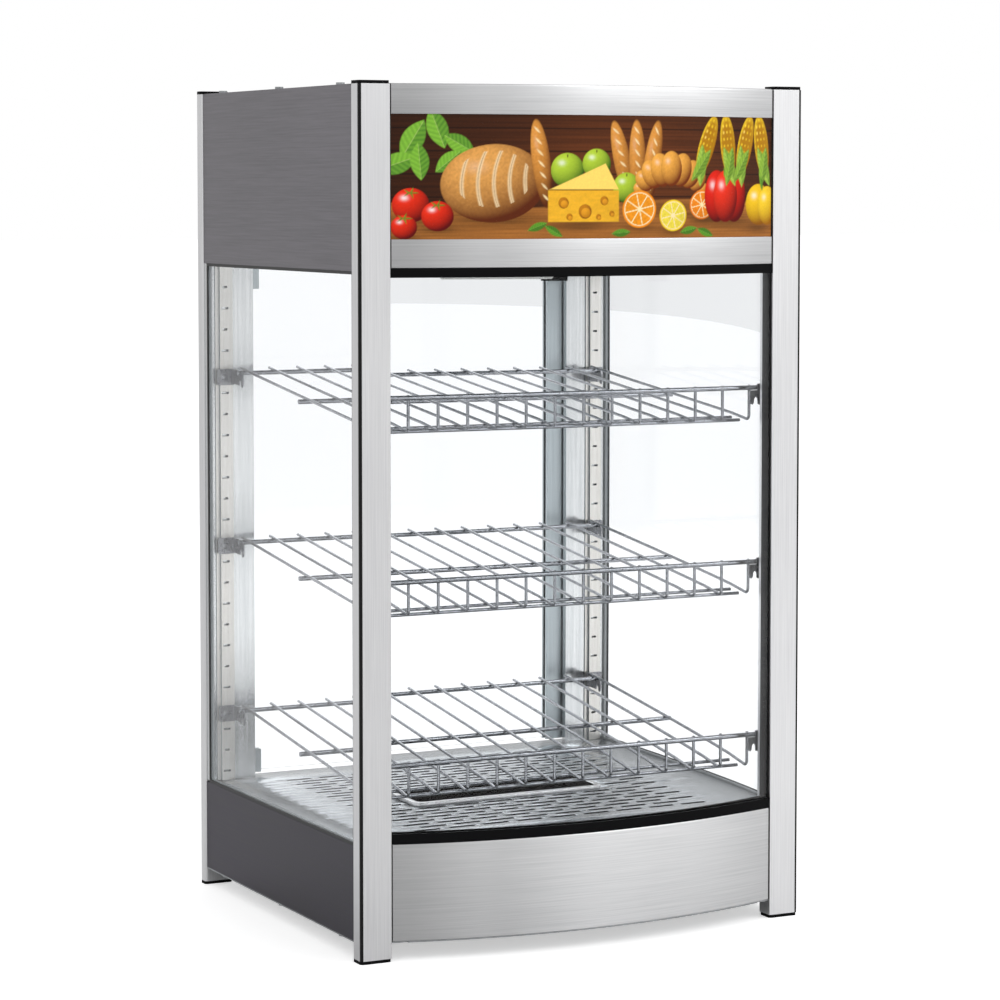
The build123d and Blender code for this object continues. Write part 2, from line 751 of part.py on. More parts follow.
with BuildPart() as door_stile:
    with BuildSketch(Plane.XY.offset(door_bottom)):
        with Locations((door_right, door_middle_y)):
            Rectangle(stile_width, stile_depth, align=(Align.MAX, Align.CENTER))
        with Locations((door_right - stile_width, door_middle_y)):
            Rectangle(stile_width / 2 + fit_gap, door_glass + 2 * fit_gap, align=(Align.MIN, Align.CENTER),
                      mode=Mode.SUBTRACT)
        with Locations((door_right - post_wall - grip_groove / 2, door_middle_y + stile_depth / 2)):
            Rectangle(grip_groove, stile_depth * 0.6, align=(Align.CENTER, Align.MAX), mode=Mode.SUBTRACT)
    extrude(amount=door_top - door_bottom)

with BuildPart() as door_shoes:
    for low, pin_end in ((door_bottom, 0), (door_top - shoe_height, shoe_height)):
        with BuildSketch(Plane.XY.offset(low)):
            with Locations((door_left, door_middle_y)):
                Rectangle(shoe_width, shoe_depth, align=(Align.MIN, Align.CENTER))
        extrude(amount=shoe_height)
    with BuildSketch(Plane.XY.offset(door_bottom + shoe_wall)):
        with Locations((door_left + fit_gap, door_middle_y)):
            Rectangle(shoe_width, door_glass, align=(Align.MIN, Align.CENTER))
    extrude(amount=door_top - door_bottom - 2 * shoe_wall, mode=Mode.SUBTRACT)
    pin_length = door_lift + bush_length - bush_flange_thickness
    with BuildSketch(Plane.XY.offset(door_bottom), Plane.XY.offset(door_top + pin_length)):
        with Locations((pivot_x, door_middle_y)):
            Circle(pivot_radius)
    extrude(amount=-pin_length)

# Flanged bushes that the door's pins turn in, in the deck and in the ceiling
with BuildPart() as door_bushes:
    for seat, way in ((deck_top, 1), (header_bottom, -1)):
        with BuildSketch(Plane.XY.offset(seat)):
            with Locations((pivot_x, door_middle_y)):
                Circle(bush_flange)
        extrude(amount=way * bush_flange_thickness)
        with BuildSketch(Plane.XY.offset(seat)):
            with Locations((pivot_x, door_middle_y)):
                Circle(bush_radius)
        extrude(amount=-way * bush_length)
    with BuildSketch():
        with Locations((pivot_x, door_middle_y)):
            Circle(pivot_radius + pivot_fit)
    extrude(amount=case_height, mode=Mode.SUBTRACT)

# Magnetic catch under the ceiling, just inside the closing edge of the door
catch_length = 26
catch_depth = 12
catch_height = 11
catch_right = half_width - column_inset - column_width - fit_gap
catch_front = door_front - rest_gap - catch_depth
catch_foot_rear = rear_y - flange_depth - fit_gap

with BuildPart() as door_catch:
    with BuildSketch(Plane.XY.offset(header_bottom - fit_gap)):
        with Locations((catch_right, catch_front)):
            Rectangle(catch_length, catch_depth, align=(Align.MAX, Align.MIN))
    extrude(amount=-catch_height)
    with BuildSketch(Plane.XY.offset(ceiling_bottom)):
        with Locations((catch_right, catch_front)):
            Rectangle(catch_length, catch_foot_rear - catch_front, align=(Align.MAX, Align.MIN))
    extrude(amount=-2 * sheet)

# Tubular heating element on its brackets, above the base floor
element_radius = 4
element_bend = 18
element_z = 58
element_half = 140
element_front = front_y + 110
element_back = front_y + 270
terminal_x = 20
terminal_back = front_y + 315

with BuildPart() as heating_element:
    with BuildLine(Plane.XY.offset(element_z)) as element_route:
        FilletPolyline((-terminal_x, terminal_back), (-terminal_x, element_back), (-element_half, element_back),
                       (-element_half, element_front), (element_half, element_front), (element_half, element_back),
                       (terminal_x, element_back), (terminal_x, terminal_back), radius=element_bend)
    with BuildSketch(Plane(origin=element_route.line @ 0, z_dir=element_route.line % 0)):
        Circle(element_radius)
    sweep()

bracket_width = 16
bracket_over = 8

with BuildPart() as element_brackets:
    for place_x, place_y, along in ((-element_half, (element_front + element_back) / 2, Plane.XZ),
                                    (element_half, (element_front + element_back) / 2, Plane.XZ),
                                    (-element_half / 2, element_front, Plane.YZ),
                                    (element_half / 2, element_front, Plane.YZ)):
        stand = Plane(origin=(place_x, place_y, element_z), x_dir=along.x_dir, z_dir=along.z_dir)
        with BuildSketch(stand):
            Rectangle(bracket_width, element_radius + bracket_over, align=(Align.CENTER, Align.MIN))
            Rectangle(bracket_width, element_z - base_front_bottom, align=(Align.CENTER, Align.MAX))
            Circle(element_radius + fit_gap / 2, mode=Mode.SUBTRACT)
        extrude(amount=sheet / 2, both=True)

# Thermostat behind the rear panel, with its capillary and sensing bulb
thermostat_width = 44
thermostat_height = 36
thermostat_depth = 28
bushing_radius = 4.6
bulb_radius = 3
bulb_length = 80
bulb_z = 96
capillary_radius = 1
spindle_depth = 12

with BuildPart() as thermostat:
    with BuildSketch(rear_face.offset(-sheet)):
        with Locations((-knob_x, 0)):
            RectangleRounded(thermostat_width, thermostat_height, 3)
    extrude(amount=-thermostat_depth)
    with BuildSketch(rear_face.offset(-sheet)):
        with Locations((-knob_x, 0)):
            Circle(bushing_radius)
    extrude(amount=sheet)
    with BuildSketch(rear_face):
        with Locations((-knob_x, 0)):
            Circle(shaft_radius + shaft_fit)
    extrude(amount=-sheet - spindle_depth, mode=Mode.SUBTRACT)
    capillary_y = rear_y - sheet - thermostat_depth + 6
    with BuildLine() as capillary:
        FilletPolyline((knob_x, capillary_y, control_z + thermostat_height / 2 - 2), (knob_x, capillary_y, bulb_z),
                       (knob_x + bulb_length / 2, capillary_y, bulb_z), radius=6)
    with BuildSketch(Plane(origin=capillary.line @ 0, z_dir=capillary.line % 0)):
        Circle(capillary_radius)
    sweep()
    with BuildSketch(Plane.YZ.offset(knob_x + bulb_length / 2 - 2)):
        with Locations((capillary_y, bulb_z)):
            Circle(bulb_radius)
    extrude(amount=bulb_length)

spindle_end = rear_overhang - 4

with BuildPart() as thermostat_spindle:
    with BuildSketch(rear_face.offset(-sheet - spindle_depth + fit_gap)):
        with Locations((-knob_x, 0)):
            Circle(shaft_radius)
    extrude(amount=sheet + spindle_depth - fit_gap + spindle_end)

knob_grip_radius = 14
knob_base_gap = 0.6
knob_ribs = 12

with BuildPart() as thermostat_knob:
    with BuildSketch(rear_face.offset(knob_base_gap)):
        with Locations((-knob_x, 0)):
            Circle(knob_radius)
    extrude(amount=knob_skirt)
    with BuildSketch(rear_face.offset(knob_base_gap + knob_skirt)):
        with Locations((-knob_x, 0)):
            Circle(knob_grip_radius)
            with PolarLocations(knob_grip_radius + 1, knob_ribs):
                Circle(2.4, mode=Mode.SUBTRACT)
    extrude(amount=rear_overhang - knob_base_gap - knob_skirt, taper=3)
    with BuildSketch(rear_face):
        with Locations((-knob_x, 0)):
            Circle(shaft_radius)
    extrude(amount=spindle_end, mode=Mode.SUBTRACT)

# Rocker switches: a housing clipped through the panel and a rocker on trunnions
rocker_pivot_depth = 3
rocker_side_room = 1.4
rocker_crown = 4
rocker_valley = 1.5
rocker_tail = 6
trunnion_radius = 1.5
cavity_depth = 13
housing_width = switch_width + 2 * switch_wall
housing_height = switch_height + 2 * switch_wall

with BuildPart() as switch_housings:
    with BuildSketch(rear_face):
        with Locations(*switch_places):
            RectangleRounded(housing_width + 2 * bezel_border, housing_height + 2 * bezel_border, 2)
    extrude(amount=bezel_thickness)
    with BuildSketch(rear_face):
        with Locations(*switch_places):
            Rectangle(housing_width, housing_height)
    extrude(amount=-switch_depth)
    with BuildSketch(rear_face.offset(bezel_thickness)):
        with Locations(*switch_places):
            Rectangle(switch_width, switch_height)
    extrude(amount=-bezel_thickness - cavity_depth, mode=Mode.SUBTRACT)
    for switch_x in (power_x, light_x):
        with BuildSketch(Plane.YZ.offset(switch_x - housing_width / 2)):
            with Locations((rear_y - rocker_pivot_depth, control_z)):
                Circle(trunnion_radius + shaft_fit)
        extrude(amount=housing_width, mode=Mode.SUBTRACT)


def rocker(centre_x):
    """Rocker key at its off tilt: a shallow V outside, a tapering tail inside, trunnions at the sides."""
    half = switch_height / 2 - rocker_side_room
    key_width = switch_width - 2 * rocker_fit
    pivot = Plane(origin=(centre_x, rear_y - rocker_pivot_depth, control_z), x_dir=(0, 1, 0), z_dir=(1, 0, 0))
    crown = rocker_pivot_depth + rocker_crown
    with BuildSketch() as side:
        with BuildLine():
            Polyline((rocker_pivot_depth + rocker_valley, 0), (crown, half), (0, half), (-rocker_tail, half / 3),
                     (-rocker_tail, -half / 3), (0, -half), (crown, -half), close=True)
        make_face()
    with BuildPart() as key:
        with BuildSketch(pivot):
            add(side.sketch, rotation=-rocker_tilt)
        extrude(amount=key_width / 2, both=True)
        with BuildSketch(pivot):
            Circle(trunnion_radius)
        extrude(amount=housing_width / 2 - fit_gap, both=True)
    return key.part


with BuildPart() as power_rocker:
    add(rocker(power_x))

with BuildPart() as light_rocker:
    add(rocker(light_x))

# Indicator lamp: bezel, lens and body turned as one
with BuildPart() as indicator_lamp:
    with BuildSketch(rear_face):
        with Locations((-lamp_x, 0)):
            Circle(lamp_radius + 2)
    extrude(amount=1.5)
    with BuildSketch(rear_face):
        with Locations((-lamp_x, 0)):
            Circle(lamp_radius - 1)
    extrude(amount=5)
    fillet(indicator_lamp.edges().filter_by(GeomType.CIRCLE).sort_by(Axis.Y)[-1], 2.5)
    with BuildSketch(rear_face):
        with Locations((-lamp_x, 0)):
            Circle(lamp_radius)
    extrude(amount=-18)

# Cable gland of the mains inlet: dome nut outside, lock nut inside, clear bore
gland_bore = 3.8
gland_nut = 11

with BuildPart() as cord_gland:
    with BuildSketch(rear_face):
        with Locations((-gland_x, 0)):
            RegularPolygon(gland_nut, 6)
    extrude(amount=6)
    with BuildSketch(rear_face.offset(6)):
        with Locations((-gland_x, 0)):
            Circle(gland_nut * 0.8)
    extrude(amount=6, taper=12)
    with BuildSketch(rear_face):
        with Locations((-gland_x, 0)):
            Circle(gland_radius)
    extrude(amount=-12)
    with BuildSketch(rear_face.offset(-sheet)):
        with Locations((-gland_x, 0)):
            RegularPolygon(gland_nut, 6)
    extrude(amount=-4)
    with BuildSketch(rear_face.offset(12)):
        with Locations((-gland_x, 0)):
            Circle(gland_bore)
    extrude(amount=-24, mode=Mode.SUBTRACT)

# Terminal block screwed down on the base floor
block_poles = 3
block_pitch = 12

with BuildPart() as terminal_block:
    with BuildSketch(Plane.XY.offset(base_front_bottom)):
        with Locations((gland_x + 30, rear_y - 60)):
            Rectangle(block_poles * block_pitch, 18)
    extrude(amount=16)
    with BuildSketch(Plane.XY.offset(base_front_bottom + 16)):
        with Locations((gland_x + 30, rear_y - 60)):
            with GridLocations(block_pitch, 10, block_poles, 2):
                Circle(2)
    extrude(amount=-8, mode=Mode.SUBTRACT)

# Light box behind the picture: white back sheet, two tubes in their holders, driver on the ceiling
light_back_y = front_y + 60
tube_radius = 8
tube_half = 172
tube_y = front_y + 34
tube_levels = (graphic_bottom + 34, graphic_top - 34)
holder_width = 14
holder_grip = 6
holder_half_height = 11
light_half_width = curve_half_width - 4

with BuildPart() as light_box_back:
    with BuildSketch(Plane.YZ.offset(-light_half_width)):
        with Locations((light_back_y, header_front_bottom)):
            Rectangle(sheet, header_top - header_front_bottom, align=(Align.MIN, Align.MIN))
            Rectangle(flange_depth, sheet, align=(Align.MIN, Align.MIN))
    extrude(amount=2 * light_half_width)

with BuildPart() as light_tubes:
    with BuildSketch(Plane.YZ.offset(-tube_half)):
        with Locations(*[(tube_y, level) for level in tube_levels]):
            Circle(tube_radius)
    extrude(amount=2 * tube_half)

with BuildPart() as tube_holders:
    for hand in (-1, 1):
        for level in tube_levels:
            holder_plane = Plane.YZ.offset(hand * (tube_half - holder_grip + holder_width / 2))
            with BuildSketch(holder_plane):
                with Locations((light_back_y, level)):
                    Rectangle(light_back_y - tube_y + tube_radius + 3, 2 * holder_half_height,
                              align=(Align.MAX, Align.CENTER))
            extrude(amount=holder_width / 2, both=True)
    with BuildSketch(Plane.YZ.offset(-tube_half - fit_gap)):
        with Locations(*[(tube_y, level) for level in tube_levels]):
            Circle(tube_radius + fit_gap / 2)
    extrude(amount=2 * (tube_half + fit_gap), mode=Mode.SUBTRACT)

driver_length = 140
driver_width = 42
driver_height = 28

with BuildPart() as light_driver:
    with BuildSketch(Plane.XY.offset(header_front_bottom)):
        with Locations((0, front_y + 290)):
            Rectangle(driver_length, driver_width)
    extrude(amount=driver_height)
    with BuildSketch(Plane.XY.offset(header_front_bottom)):
        with Locations((0, front_y + 290)):
            Rectangle(driver_length + 30, driver_width / 2)
            with GridLocations(driver_length + 16, 0, 2, 1):
                Circle(2.2, mode=Mode.SUBTRACT)
    extrude(amount=sheet)

# Chamber lamp let into the ceiling: housing with a bezel, and a half-round lens below it
lamp_bezel = 5
lamp_bezel_thickness = 2
lens_radius = 8

with BuildPart() as chamber_lamp:
    with BuildSketch(Plane.XY.offset(ceiling_bottom)):
        with Locations((0, chamber_lamp_y)):
            Rectangle(lamp_hole_length + 2 * lamp_bezel, lamp_hole_width + 2 * lamp_bezel)
    extrude(amount=-lamp_bezel_thickness)
    with BuildSketch(Plane.XY.offset(ceiling_bottom)):
        with Locations((0, chamber_lamp_y)):
            Rectangle(lamp_hole_length - 2 * fit_gap, lamp_hole_width - 2 * fit_gap)
    extrude(amount=14)

with BuildPart() as lamp_lens:
    with BuildSketch(Plane.YZ.offset(-lamp_hole_length / 2)):
        with Locations((chamber_lamp_y, ceiling_bottom - lamp_bezel_thickness)):
            Circle(lens_radius)
        with Locations((chamber_lamp_y, ceiling_bottom - lamp_bezel_thickness)):
            Rectangle(3 * lens_radius, 2 * lens_radius, align=(Align.CENTER, Align.MIN), mode=Mode.SUBTRACT)
    extrude(amount=lamp_hole_length)

# Pan-head screws: the floor from below and the cover from above, into the side panels' flanges
with BuildPart() as screws:
    for seat, way in ((base_bottom, -1), (header_top + sheet, 1)):
        with BuildSketch(Plane.XY.offset(seat)):
            with Locations(*screw_places):
                Circle(screw_head_radius)
        extrude(amount=way * screw_head_height)
        with BuildSketch(Plane.XY.offset(seat)):
            with Locations(*screw_places):
                Circle(screw_radius)
        extrude(amount=-way * screw_length)

save(post_front_left, "post_front_left")
save(post_front_right, "post_front_right")
save(post_rear_left, "post_rear_left")
save(post_rear_right, "post_rear_right")
save(corner_strips, "corner_strips")
save(post_caps, "post_caps")
save(feet, "feet")
save(base_floor, "base_floor")
save(deck, "deck")
save(ceiling_panel, "ceiling_panel")
save(top_cover, "top_cover")
save(base_left_panel, "base_left_panel")
save(base_right_panel, "base_right_panel")
save(base_front_panel, "base_front_panel")
save(base_rear_panel, "base_rear_panel")
save(header_left_panel, "header_left_panel")
save(header_right_panel, "header_right_panel")
save(header_rear_panel, "header_rear_panel")
save(header_lower_strip, "header_lower_strip")
save(header_top_strip, "header_top_strip")
save(graphic_panel, "graphic_panel")
save(lower_glass_channel, "lower_glass_channel")
save(upper_glass_channel, "upper_glass_channel")
save(front_glass, "front_glass")
save(side_gaskets, "side_gaskets")
save(side_glass, "side_glass")
save(rear_columns, "rear_columns")
save(rear_standards, "rear_standards")
save(front_standards, "front_standards")
save(water_tray, "water_tray")
save(door_pane, "door_glass")
save(door_stile, "door_stile")
save(door_shoes, "door_shoes")
save(door_bushes, "door_bushes")
save(door_catch, "door_catch")
save(heating_element, "heating_element")
save(element_brackets, "element_brackets")
save(thermostat, "thermostat")
save(thermostat_spindle, "thermostat_spindle")
save(thermostat_knob, "thermostat_knob")
save(switch_housings, "switch_housings")
save(power_rocker, "power_rocker")
save(light_rocker, "light_rocker")
save(indicator_lamp, "indicator_lamp")
save(cord_gland, "cord_gland")
save(terminal_block, "terminal_block")
save(light_box_back, "light_box_back")
save(light_tubes, "light_tubes")
save(tube_holders, "tube_holders")
save(light_driver, "light_driver")
save(chamber_lamp, "chamber_lamp")
save(lamp_lens, "lamp_lens")
save(screws, "screws")
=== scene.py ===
import bmesh
import bpy
import numpy as np
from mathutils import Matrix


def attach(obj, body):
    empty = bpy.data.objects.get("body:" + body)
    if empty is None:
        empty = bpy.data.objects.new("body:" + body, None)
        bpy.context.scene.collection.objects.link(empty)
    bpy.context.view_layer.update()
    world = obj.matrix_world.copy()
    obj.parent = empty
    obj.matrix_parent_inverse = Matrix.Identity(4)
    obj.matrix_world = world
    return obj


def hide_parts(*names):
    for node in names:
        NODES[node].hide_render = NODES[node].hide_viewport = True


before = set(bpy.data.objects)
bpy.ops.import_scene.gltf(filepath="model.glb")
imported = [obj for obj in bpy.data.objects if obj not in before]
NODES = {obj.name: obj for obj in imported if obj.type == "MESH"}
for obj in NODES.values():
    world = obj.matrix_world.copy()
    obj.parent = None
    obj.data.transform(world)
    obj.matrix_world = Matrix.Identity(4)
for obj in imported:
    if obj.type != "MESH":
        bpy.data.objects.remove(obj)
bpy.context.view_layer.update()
MM = 0.001

# Camera at the photograph's angle: front left of the case, a little above half its height.
# The lens, its place and its tilt were fitted to the case's edges in the photograph.
LENS_MM = 117.335
CAMERA_AT = (-1.4373, -2.8943, 0.7118)
CAMERA_YAW = 26.496
CAMERA_DOWN = 3.708
CAMERA_SHIFT = -0.1
camera_data = bpy.data.cameras.new("camera")
camera_data.lens = LENS_MM
camera_data.sensor_width = 36.0
camera_data.shift_y = CAMERA_SHIFT
camera = bpy.data.objects.new("camera", camera_data)
camera.location = CAMERA_AT
camera.rotation_euler = (np.radians(90.0 - CAMERA_DOWN), 0.0, -np.radians(CAMERA_YAW))
bpy.context.scene.collection.objects.link(camera)
bpy.context.scene.camera = camera


def add_node(tree, kind, inputs=None, **settings):
    """Adds one node. Settings are its properties; inputs are values or the sockets linked to it."""
    made = tree.nodes.new(kind)
    for name, value in settings.items():
        setattr(made, name, value)
    for name, value in (inputs or {}).items():
        if isinstance(value, bpy.types.NodeSocket):
            tree.links.new(value, made.inputs[name])
        else:
            made.inputs[name].default_value = value
    return made


def linear(code):
    """Turns an sRGB hex colour to linear RGB: (c + 0.055) / 1.055 to the power 2.4 above 0.04045."""
    channels = np.array([int(code[place:place + 2], 16) for place in (1, 3, 5)]) / 255.0
    return np.where(channels > 0.04045, ((channels + 0.055) / 1.055) ** 2.4, channels / 12.92)


def rgba(code):
    """The same colour as four numbers for a node's colour socket."""
    return (*linear(code), 1.0)


# Studio: a pale floor, a white surround that metal and glass also see, two soft lamps.
# For metal the surround is brightest to the front right, where the photo's key light stands.
FLOOR_HALF = 40.0
floor_mesh = bpy.data.meshes.new("floor")
floor_mesh.from_pydata([(-FLOOR_HALF, -FLOOR_HALF, 0), (FLOOR_HALF, -FLOOR_HALF, 0),
                        (FLOOR_HALF, FLOOR_HALF, 0), (-FLOOR_HALF, FLOOR_HALF, 0)], [], [(0, 1, 2, 3)])
floor = bpy.data.objects.new("floor", floor_mesh)
bpy.context.scene.collection.objects.link(floor)
floor_paint = bpy.data.materials.new("studio paper")
floor_paint.use_nodes = True
tree = floor_paint.node_tree
tree.nodes.clear()
ray = add_node(tree, "ShaderNodeLightPath")
paper = add_node(tree, "ShaderNodeBsdfDiffuse", {"Color": rgba("#f4f4f4")})
direct = add_node(tree, "ShaderNodeMath", {0: ray.outputs["Is Camera Ray"],
                                           1: ray.outputs["Is Transmission Ray"]}, operation="MAXIMUM")
glow = add_node(tree, "ShaderNodeEmission", {"Color": (1, 1, 1, 1), "Strength": 0.5})
lit_paper = add_node(tree, "ShaderNodeAddShader", {0: paper.outputs[0], 1: glow.outputs[0]})
blend = add_node(tree, "ShaderNodeMixShader", {0: direct.outputs[0], 1: paper.outputs[0],
                                               2: lit_paper.outputs[0]})
add_node(tree, "ShaderNodeOutputMaterial", {"Surface": blend.outputs[0]})
floor_mesh.materials.append(floor_paint)

world = bpy.data.worlds.new("studio")
bpy.context.scene.world = world
world.use_nodes = True
tree = world.node_tree
tree.nodes.clear()
ray = add_node(tree, "ShaderNodeLightPath")
way = add_node(tree, "ShaderNodeTexCoord")
facing = add_node(tree, "ShaderNodeVectorMath", {0: way.outputs["Generated"], 1: (0.65, -0.76, 0.0)},
                  operation="DOT_PRODUCT")
sky = add_node(tree, "ShaderNodeMapRange", {"Value": facing.outputs["Value"], "From Min": 0.3,
                                            "From Max": 0.97, "To Min": 0.8, "To Max": 1.02})
through = add_node(tree, "ShaderNodeMath", {0: ray.outputs["Is Camera Ray"],
                                            1: ray.outputs["Is Transmission Ray"]}, operation="MAXIMUM")
mirrored = add_node(tree, "ShaderNodeBackground", {"Color": (1, 1, 1, 1), "Strength": sky.outputs[0]})
soft = add_node(tree, "ShaderNodeBackground", {"Color": (1, 1, 1, 1), "Strength": 0.75})
white = add_node(tree, "ShaderNodeBackground", {"Color": (1, 1, 1, 1), "Strength": 1.0})
first = add_node(tree, "ShaderNodeMixShader", {0: ray.outputs["Is Glossy Ray"], 1: soft.outputs[0],
                                               2: mirrored.outputs[0]})
second = add_node(tree, "ShaderNodeMixShader", {0: through.outputs[0], 1: first.outputs[0],
                                                2: white.outputs[0]})
add_node(tree, "ShaderNodeOutputWorld", {"Surface": second.outputs[0]})
bpy.context.scene.view_settings.view_transform = "Standard"


def area_lamp(name, place, aim, size, watts):
    """A square soft lamp at a place, turned to a point."""
    data = bpy.data.lights.new(name, "AREA")
    data.size = size
    data.energy = watts
    lamp = bpy.data.objects.new(name, data)
    lamp.location = place
    forward = np.array(aim, float) - np.array(place, float)
    lamp.rotation_euler = (np.arctan2(np.hypot(forward[0], forward[1]), -forward[2]), 0.0,
                           np.arctan2(forward[1], forward[0]) - np.pi / 2)
    bpy.context.scene.collection.objects.link(lamp)


area_lamp("key", (2.0, -2.4, 2.4), (0.0, 0.0, 0.4), 1.8, 26.0)
area_lamp("fill", (-2.2, -2.0, 2.2), (0.0, 0.0, 0.4), 2.0, 10.0)
area_lamp("back", (0.6, 2.8, 2.2), (0.0, 0.0, 0.5), 2.0, 14.0)


# Corner posts: hollow aluminium extrusions, satin anodised. The die leaves very fine lines along
# their length; they are drawn coarser than real so that they show.
def new_finish(name):
    """A new material with its node tree, its surface node and its texture coordinates."""
    made = bpy.data.materials.new(name)
    made.use_nodes = True
    tree = made.node_tree
    return made, tree, tree.nodes["Principled BSDF"], add_node(tree, "ShaderNodeTexCoord")


def grained_metal(name, low, high, stretch, roughness, spread, bump, edge=0.6, painted_reflection=None, rim=None):
    """Metal with a directional grain. Noise on Object coordinates is squeezed across the grain and
    drawn out along it (stretch = cycles per metre in X, Y and Z), and it moves the colour from low
    to high, the roughness by spread about its middle and the bump height by a few microns.
    painted_reflection is a list of (X in metres, brightness) along the piece that multiplies the
    colour: a painted reflection. A rim is (axis, colour): faces whose normal lies less than half
    along that axis take the colour, painted shade on the piece's sides."""
    made, tree, surface, place = new_finish(name)
    drawn = add_node(tree, "ShaderNodeMapping", {"Vector": place.outputs["Object"], "Scale": stretch})
    grain = add_node(tree, "ShaderNodeTexNoise", {"Vector": drawn.outputs[0], "Scale": 1.0, "Detail": 5.0,
                                                  "Roughness": 0.62})
    cloud = add_node(tree, "ShaderNodeTexNoise", {"Vector": place.outputs["Object"], "Scale": 3.5,
                                                  "Detail": 2.0})
    both = add_node(tree, "ShaderNodeMix", {"Factor": 0.3, "A": grain.outputs[0], "B": cloud.outputs[0]})
    tone = add_node(tree, "ShaderNodeMapRange", {"Value": both.outputs[0], "From Min": 0.34,
                                                 "From Max": 0.66})
    colour = add_node(tree, "ShaderNodeMix", {"Factor": tone.outputs[0], "A": rgba(low), "B": rgba(high)},
                      data_type="RGBA")
    rough = add_node(tree, "ShaderNodeMapRange", {"Value": both.outputs[0], "From Min": 0.3, "From Max": 0.7,
                                                  "To Min": roughness - spread, "To Max": roughness + spread})
    worn = add_node(tree, "ShaderNodeBevel", {"Radius": edge * MM}, samples=4)
    relief = add_node(tree, "ShaderNodeBump", {"Height": grain.outputs[0], "Normal": worn.outputs[0],
                                               "Strength": bump, "Distance": 0.0002})
    base = colour.outputs["Result"]
    # Painted reflection: a brightness along X multiplies the colour.
    if painted_reflection:
        apart = add_node(tree, "ShaderNodeSeparateXYZ", {0: place.outputs["Object"]})
        along = add_node(tree, "ShaderNodeMapRange", {"Value": apart.outputs["X"], "From Min": painted_reflection[0][0],
                                                      "From Max": painted_reflection[-1][0]})
        ramp = add_node(tree, "ShaderNodeValToRGB", {"Fac": along.outputs[0]})
        while len(ramp.color_ramp.elements) < len(painted_reflection):
            ramp.color_ramp.elements.new(0.5)
        for stop, (x, light) in zip(ramp.color_ramp.elements, painted_reflection):
            stop.position = (x - painted_reflection[0][0]) / (painted_reflection[-1][0] - painted_reflection[0][0])
            stop.color = (light, light, light, 1.0)
        ramp.color_ramp.interpolation = "EASE"
        base = add_node(tree, "ShaderNodeMix", {"Factor": 1.0, "A": base, "B": ramp.outputs[0]},
                        data_type="RGBA", blend_type="MULTIPLY").outputs["Result"]
    # Painted shade: faces across the given axis take the darker colour.
    if rim:
        axis, code = rim
        apart = add_node(tree, "ShaderNodeSeparateXYZ", {0: place.outputs["Normal"]})
        size = add_node(tree, "ShaderNodeMath", {0: apart.outputs[axis]}, operation="ABSOLUTE")
        cut = add_node(tree, "ShaderNodeMath", {0: size.outputs[0], 1: 0.5}, operation="LESS_THAN")
        base = add_node(tree, "ShaderNodeMix", {"Factor": cut.outputs[0], "A": base, "B": rgba(code)},
                        data_type="RGBA").outputs["Result"]
    tree.links.new(base, surface.inputs["Base Color"])
    tree.links.new(rough.outputs[0], surface.inputs["Roughness"])
    tree.links.new(relief.outputs[0], surface.inputs["Normal"])
    surface.inputs["Metallic"].default_value = 1.0
    return made


def dress(finish, *names):
    """Gives CAD nodes one material."""
    for name in names:
        for slot in NODES[name].material_slots:
            slot.material = finish


# The left posts are painted 0.85 as bright as the right ones: painted shade on the side away from the light.
anodised = grained_metal("satin anodised aluminium", "#e0e0e2", "#f2f2f3", (900.0, 900.0, 9.0),
                         0.36, 0.05, 0.10, painted_reflection=[(-0.234, 0.85), (0.234, 1.0)])
dress(anodised, "post_front_left", "post_front_right", "post_rear_left", "post_rear_right")


# Feet, post caps and corner strips: black plastic plugs and an extruded black rubber bead,
# pressed in by hand. Moulded plastic shows a very fine spark-eroded texture.
def moulded(name, low, high, roughness, grit, bump, specular=0.5):
    """Moulded plastic or rubber: fine noise of one grit size (cycles per metre) drives bump and
    roughness, a broad one shifts the colour between two near tones."""
    made, tree, surface, place = new_finish(name)
    fine = add_node(tree, "ShaderNodeTexNoise", {"Vector": place.outputs["Object"], "Scale": grit,
                                                 "Detail": 3.0})
    broad = add_node(tree, "ShaderNodeTexNoise", {"Vector": place.outputs["Object"], "Scale": 14.0,
                                                  "Detail": 3.0})
    colour = add_node(tree, "ShaderNodeMix", {"Factor": broad.outputs[0], "A": rgba(low), "B": rgba(high)},
                      data_type="RGBA")
    rough = add_node(tree, "ShaderNodeMapRange", {"Value": fine.outputs[0], "From Min": 0.3, "From Max": 0.7,
                                                  "To Min": roughness - 0.06, "To Max": roughness + 0.06})
    worn = add_node(tree, "ShaderNodeBevel", {"Radius": 0.5 * MM}, samples=4)
    relief = add_node(tree, "ShaderNodeBump", {"Height": fine.outputs[0], "Normal": worn.outputs[0],
                                               "Strength": bump, "Distance": 0.0003})
    tree.links.new(colour.outputs["Result"], surface.inputs["Base Color"])
    tree.links.new(rough.outputs[0], surface.inputs["Roughness"])
    tree.links.new(relief.outputs[0], surface.inputs["Normal"])
    surface.inputs["Specular IOR Level"].default_value = specular
    return made


black_nylon = moulded("moulded black nylon", "#040405", "#0a0a0c", 0.6, 2500.0, 0.2, 0.08)
black_rubber = moulded("extruded black rubber", "#050506", "#0b0b0d", 0.5, 1200.0, 0.12, 0.2)
dress(black_nylon, "post_caps", "feet", "door_catch", "cord_gland")
dress(black_rubber, "corner_strips")


# Side glass gaskets: co-extruded, a black bead outside and a clear grey lip inside the case.
def repaint(finish, mask, code):
    """Lays a second colour over a material's own where the mask is 1."""
    tree = finish.node_tree
    base_in = tree.nodes["Principled BSDF"].inputs["Base Color"]
    mixed = add_node(tree, "ShaderNodeMix", {"Factor": mask, "A": base_in.links[0].from_socket,
                                             "B": rgba(code)}, data_type="RGBA")
    tree.links.new(mixed.outputs["Result"], base_in)


